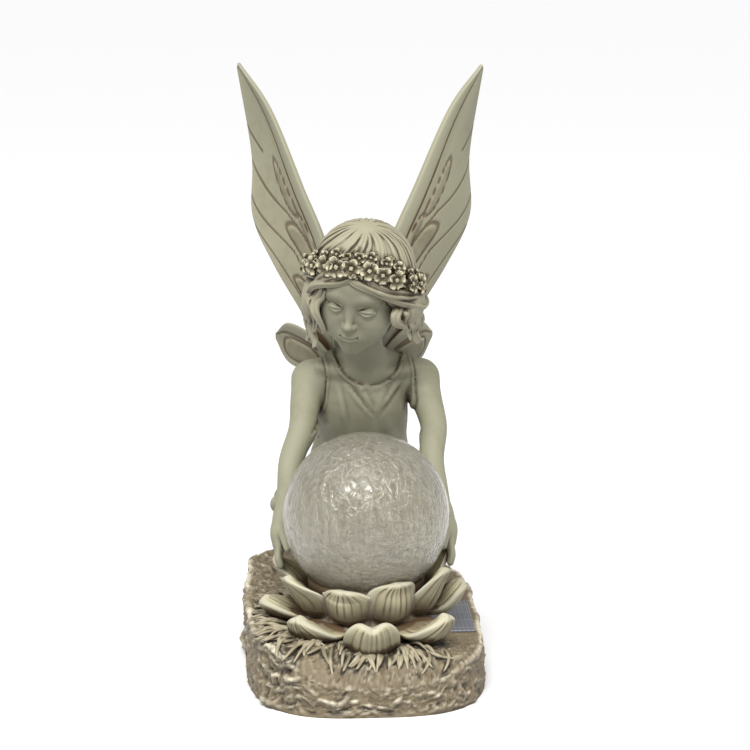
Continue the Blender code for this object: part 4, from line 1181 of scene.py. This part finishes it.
def finish_and_shade_group():
    """Coat, wash and dry brush as one effect, with painted light and shade: faces that look up are lighter
    and faces that look down darker.
    """
    tree = bpy.data.node_groups.new("antique_wash_and_painted_shade", "ShaderNodeTree")
    for name in ("Coat", "Wash", "Brush"):
        tree.interface.new_socket(name, in_out="INPUT", socket_type="NodeSocketColor")
    for name in ("Wash Amount", "Brush Amount", "Blotch", "Deep", "Fine", "Proud", "Line"):
        tree.interface.new_socket(name, in_out="INPUT", socket_type="NodeSocketFloat")
    tree.interface.new_socket("Color", in_out="OUTPUT", socket_type="NodeSocketColor")
    for name in ("Height", "Roughness"):
        tree.interface.new_socket(name, in_out="OUTPUT", socket_type="NodeSocketFloat")
    given = add_node(tree, "NodeGroupInput", {}).outputs
    place = add_node(tree, "ShaderNodeTexCoord", {}).outputs

    def noise_of(scale, detail):
        values = {"Vector": place["Object"], "Scale": scale, "Detail": detail, "Roughness": 0.6}
        return add_node(tree, "ShaderNodeTexNoise", values).outputs["Fac"]

    # Painted light and shade: the colour is scaled from 0.6 on faces that look down to 1.0 on faces that look
    # up.
    upward = add_node(tree, "ShaderNodeSeparateXYZ", {"Vector": place["Normal"]}).outputs["Z"]
    painted_top_light = spread(tree, upward, from_min=-0.45, from_max=0.50, to_min=0.60, to_max=1.0)
    painted_top_light.interpolation_type = "SMOOTHSTEP"
    broad, middling, fine = noise_of(38, 4), noise_of(210, 5), noise_of(1300, 3)
    # The wash lies in the fine and deep hollows; in the deep ones and between the pieces it is partly painted
    # shade.
    hollow = worked(tree, "MULTIPLY_ADD", given["Fine"], 1.9, given["Deep"])
    painted = worked(tree, "MAXIMUM", worked(tree, "MULTIPLY", given["Line"], 1.3), -0.3)
    hollow = worked(tree, "ADD", hollow, painted)
    stain = worked(tree, "MULTIPLY", worked(tree, "SUBTRACT", broad, 0.5), given["Blotch"])
    speck = worked(tree, "MULTIPLY", worked(tree, "SUBTRACT", middling, 0.5), 0.30)
    hollow = worked(tree, "ADD", hollow, speck)
    wash = worked(tree, "MULTIPLY_ADD", hollow, given["Wash Amount"], stain, clamp=True)
    colour = mixed(tree, wash, given["Coat"], given["Wash"])
    edge = worked(tree, "MULTIPLY", given["Line"], -1.0, clamp=True)
    catch = worked(tree, "MULTIPLY", worked(tree, "ADD", given["Proud"], edge), given["Brush Amount"])
    catch = worked(tree, "MULTIPLY", catch, worked(tree, "ADD", middling, 0.5), clamp=True)
    colour = mixed(tree, catch, colour, given["Brush"])
    shaded = add_node(tree, "ShaderNodeVectorMath", {}, operation="SCALE")
    feed(tree, shaded, {0: colour, "Scale": painted_top_light.outputs["Result"]})
    height = worked(tree, "MULTIPLY_ADD", fine, 0.4, worked(tree, "MULTIPLY", middling, 0.6))
    roughness = worked(tree, "MULTIPLY_ADD", middling, 0.25, 0.50)
    add_node(tree, "NodeGroupOutput", {"Color": shaded.outputs[0], "Height": height, "Roughness": roughness})
    return tree


FINISH_AND_SHADE = finish_and_shade_group()
GRAIN_DEPTH = 0.0004


def resin(name, coat, wash, brush, wash_amount, brush_amount, blotch, bump):
    """A resin surface with the antique finish and its painted light and shade."""
    material, tree, shader = surface(name)
    effect = add_node(tree, "ShaderNodeGroup", {}, node_tree=FINISH_AND_SHADE)
    feed(tree, effect, {"Coat": (*coat, 1), "Wash": (*wash, 1), "Brush": (*brush, 1),
                        "Wash Amount": wash_amount, "Brush Amount": brush_amount, "Blotch": blotch})
    for key in ("deep", "fine", "proud", "line"):
        layer = add_node(tree, "ShaderNodeAttribute", {}, attribute_name=key)
        feed(tree, effect, {key.capitalize(): layer.outputs["Fac"]})
    values = {"Strength": bump, "Distance": GRAIN_DEPTH, "Height": effect.outputs["Height"]}
    ripple = add_node(tree, "ShaderNodeBump", values)
    feed(tree, shader, {"Base Color": effect.outputs["Color"], "Roughness": effect.outputs["Roughness"],
                        "Normal": ripple.outputs["Normal"]})
    return material


CHALK = (0.60, 0.575, 0.46)
skin_resin = resin("skin_resin", (0.285, 0.277, 0.188), (0.085, 0.060, 0.030), CHALK, 0.80, 0.25, 0.90, 0.25)
hair_resin = resin("hair_resin", (0.340, 0.316, 0.216), (0.070, 0.050, 0.025), CHALK, 1.15, 0.50, 0.70, 0.25)
petal_resin = resin("petal_resin", (0.435, 0.397, 0.255), (0.115, 0.070, 0.032), CHALK, 1.35, 0.50, 0.90, 0.3)
wing_resin = resin("wing_resin", (0.300, 0.287, 0.193), (0.085, 0.048, 0.016), (0.50, 0.49, 0.39),
                   1.6, 0.22, 0.80, 0.25)
blossom_resin = resin("blossom_resin", (0.50, 0.445, 0.275), (0.060, 0.047, 0.014), (0.76, 0.70, 0.52),
                      0.95, 0.90, 1.00, 0.2)
rock_resin = resin("rock_resin", (0.180, 0.137, 0.077), (0.036, 0.026, 0.013), (0.66, 0.60, 0.46),
                   1.2, 1.8, 0.5, 0.9)
grass_resin = resin("grass_resin", (0.200, 0.158, 0.090), (0.030, 0.022, 0.010), (0.50, 0.44, 0.30),
                    1.1, 0.8, 0.4, 0.3)
for obj, material in ((base, rock_resin), (lotus, petal_resin), (girl, skin_resin), (hair, hair_resin),
                      (grass, grass_resin), (flower_crown, blossom_resin), (wing_left, wing_resin),
                      (wing_right, wing_resin)):
    obj.data.materials.append(material)
    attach(obj, "root")
for obj in (base, lotus, girl, hair, grass, flower_crown):
    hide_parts("statue")
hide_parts("wing_left")
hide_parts("wing_right")


# Globe.
# A blown glass ball, cracked by quenching and fused again, with an open neck below that stands in the lotus.
GLASS = 0.0025
NECK_DIAMETER = 0.034
NECK_END = 0.0430
CRACK_DEPTH = 0.0008


def wall(radius, neck, steps):
    """One side of the glass from the open end of the neck to the top of the ball."""
    start = math.asin(neck / radius)
    turns = [start + (math.pi - start) * i / steps for i in range(steps + 1)]
    return [(neck, NECK_END)] + [(radius * math.sin(a), GLOBE_HEIGHT - radius * math.cos(a)) for a in turns]


outside = wall(GLOBE_DIAMETER / 2, NECK_DIAMETER / 2, 48)
inside = wall(GLOBE_DIAMETER / 2 - GLASS, NECK_DIAMETER / 2 - GLASS, 48)
globe = piece("crackle_globe", spun(outside + inside[::-1], closed=True))

crackle, tree, shader = surface("crackle_glass")
feed(tree, shader, {"Transmission Weight": 0.88, "IOR": 1.52})
place = add_node(tree, "ShaderNodeTexCoord", {}).outputs["Object"]
height = add_node(tree, "ShaderNodeSeparateXYZ", {"Vector": place}).outputs["Z"]


def stretched(scale, detail, kind="ShaderNodeTexNoise"):
    """A texture drawn out along the axes by scale."""
    mapping = add_node(tree, "ShaderNodeMapping", {"Scale": scale, "Vector": place})
    return add_node(tree, kind, {"Scale": 1, "Detail": detail, "Vector": mapping.outputs["Vector"]})


# Streaks run down the upper half, fine ripples lie across the lower one, and a net of cracks goes over both.
streaks = stretched((300, 300, 36), 4).outputs["Fac"]
ripples = stretched((160, 160, 760), 2).outputs["Fac"]
low = spread(tree, height, from_min=GLOBE_HEIGHT + 0.012, from_max=GLOBE_HEIGHT - 0.014).outputs["Result"]
pattern = worked(tree, "MULTIPLY_ADD", worked(tree, "SUBTRACT", ripples, streaks), low, streaks)
cracks = stretched((190, 190, 120), 2, "ShaderNodeTexVoronoi")
cracks.feature = "DISTANCE_TO_EDGE"
edge = spread(tree, cracks.outputs["Distance"], from_max=0.10).outputs["Result"]
relief = worked(tree, "MULTIPLY_ADD", edge, 0.45, pattern)
ripple = add_node(tree, "ShaderNodeBump", {"Strength": 1.0, "Distance": CRACK_DEPTH, "Height": relief})
tint = add_node(tree, "ShaderNodeValToRGB", {"Fac": pattern})
tint.color_ramp.elements[0].position = 0.42
tint.color_ramp.elements[0].color = (0.76, 0.72, 0.60, 1)
tint.color_ramp.elements[1].position = 0.57
tint.color_ramp.elements[1].color = (0.95, 0.92, 0.82, 1)
haze = spread(tree, edge, to_min=0.10, to_max=0.03)
feed(tree, shader, {"Base Color": tint.outputs["Color"], "Normal": ripple.outputs["Normal"],
                    "Roughness": haze.outputs["Result"]})
globe.data.materials.append(crackle)
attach(globe, "root")
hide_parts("globe")


# Lamp holder.
# A white moulded plug that closes the neck of the globe and holds a light-emitting diode.
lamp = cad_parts["lamp_holder"]
plastic, tree, shader = surface("lamp_plastic")
place = add_node(tree, "ShaderNodeTexCoord", {}).outputs["Object"]
grit = add_node(tree, "ShaderNodeTexNoise", {"Scale": 900, "Vector": place}).outputs["Fac"]
haze = spread(tree, grit, to_min=0.38, to_max=0.52)
feed(tree, shader, {"Base Color": (0.72, 0.72, 0.68, 1), "Roughness": haze.outputs["Result"]})
lamp.data.materials.clear()
lamp.data.materials.append(plastic)


# Solar panel.
# A blue-grey cell under clear resin, its strips wired with thin lines.
# It is let into a bed in the turf at the right.
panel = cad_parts["solar_panel"]
cell_glass, tree, shader = surface("solar_cell")
place = add_node(tree, "ShaderNodeTexCoord", {}).outputs["Object"]
split = add_node(tree, "ShaderNodeSeparateXYZ", {"Vector": place})


def stripes(axis, gap, width):
    """1 on thin lines a gap apart along an axis, 0 between."""
    return worked(tree, "LESS_THAN", worked(tree, "PINGPONG", split.outputs[axis], gap / 2), width / 2)


wires = worked(tree, "MAXIMUM", stripes("X", 0.0026, 0.00022), stripes("Y", 0.0130, 0.0007))
cloud = add_node(tree, "ShaderNodeTexNoise", {"Scale": 160, "Detail": 5, "Vector": place}).outputs["Fac"]
tone = add_node(tree, "ShaderNodeValToRGB", {"Fac": cloud})
tone.color_ramp.elements[0].color = (0.035, 0.038, 0.055, 1)
tone.color_ramp.elements[1].color = (0.11, 0.115, 0.15, 1)
haze = spread(tree, cloud, to_min=0.22, to_max=0.45)
feed(tree, shader, {"Base Color": mixed(tree, wires, tone.outputs["Color"], (0.22, 0.22, 0.24, 1)),
                    "Roughness": haze.outputs["Result"], "Coat Weight": 0.6})
panel.data.materials.clear()
panel.data.materials.append(cell_glass)


# Camera, floor and lights.
# The camera stands where the photograph was taken from; the floor and the lights are a plain studio.
CAMERA_AT = (-0.09142855, -1.41485908, 0.48182912)
LOOK_AT = (0.00750803, 0, 0.18035717)
LENS = 115
FLOOR_HALF = 40
LIT_PLACE = (0, 0, 0.17)


def aim(obj, target):
    obj.rotation_mode = "QUATERNION"
    obj.rotation_quaternion = (Vector(target) - obj.location).to_track_quat("-Z", "Y")


camera = bpy.data.objects.new("camera", bpy.data.cameras.new("camera"))
bpy.context.scene.collection.objects.link(camera)
camera.location = CAMERA_AT
aim(camera, LOOK_AT)
camera.data.lens = LENS
camera.data.sensor_width = 36
camera.data.clip_start = 0.05
bpy.context.scene.camera = camera

bm = bmesh.new()
bmesh.ops.create_grid(bm, x_segments=1, y_segments=1, size=FLOOR_HALF)
floor = piece("floor", bm)
floor_paint, tree, shader = surface("floor_paint")
feed(tree, shader, {"Base Color": (0.98, 0.98, 0.98, 1), "Roughness": 0.9})
floor.data.materials.append(floor_paint)

for name, kind, place, power in (("key", "AREA", (-0.10, -1.0, 1.35), 17),
                                 ("overhead", "SUN", (-0.25, -0.45, 1.2), 1.6)):
    light = bpy.data.objects.new(name, bpy.data.lights.new(name, kind))
    bpy.context.scene.collection.objects.link(light)
    light.data.energy = power
    light.location = place
    aim(light, LIT_PLACE)
key = bpy.data.lights["key"]
key.shape = "RECTANGLE"
key.size = 1.3
key.size_y = 0.22
bpy.data.lights["overhead"].angle = math.radians(50)

world = bpy.data.worlds.new("studio")
world.use_nodes = True
world.node_tree.nodes["Background"].inputs["Color"].default_value = (1, 1, 1, 1)
world.node_tree.nodes["Background"].inputs["Strength"].default_value = 0.55
bpy.context.scene.world = world
bpy.context.scene.view_settings.view_transform = "Standard"
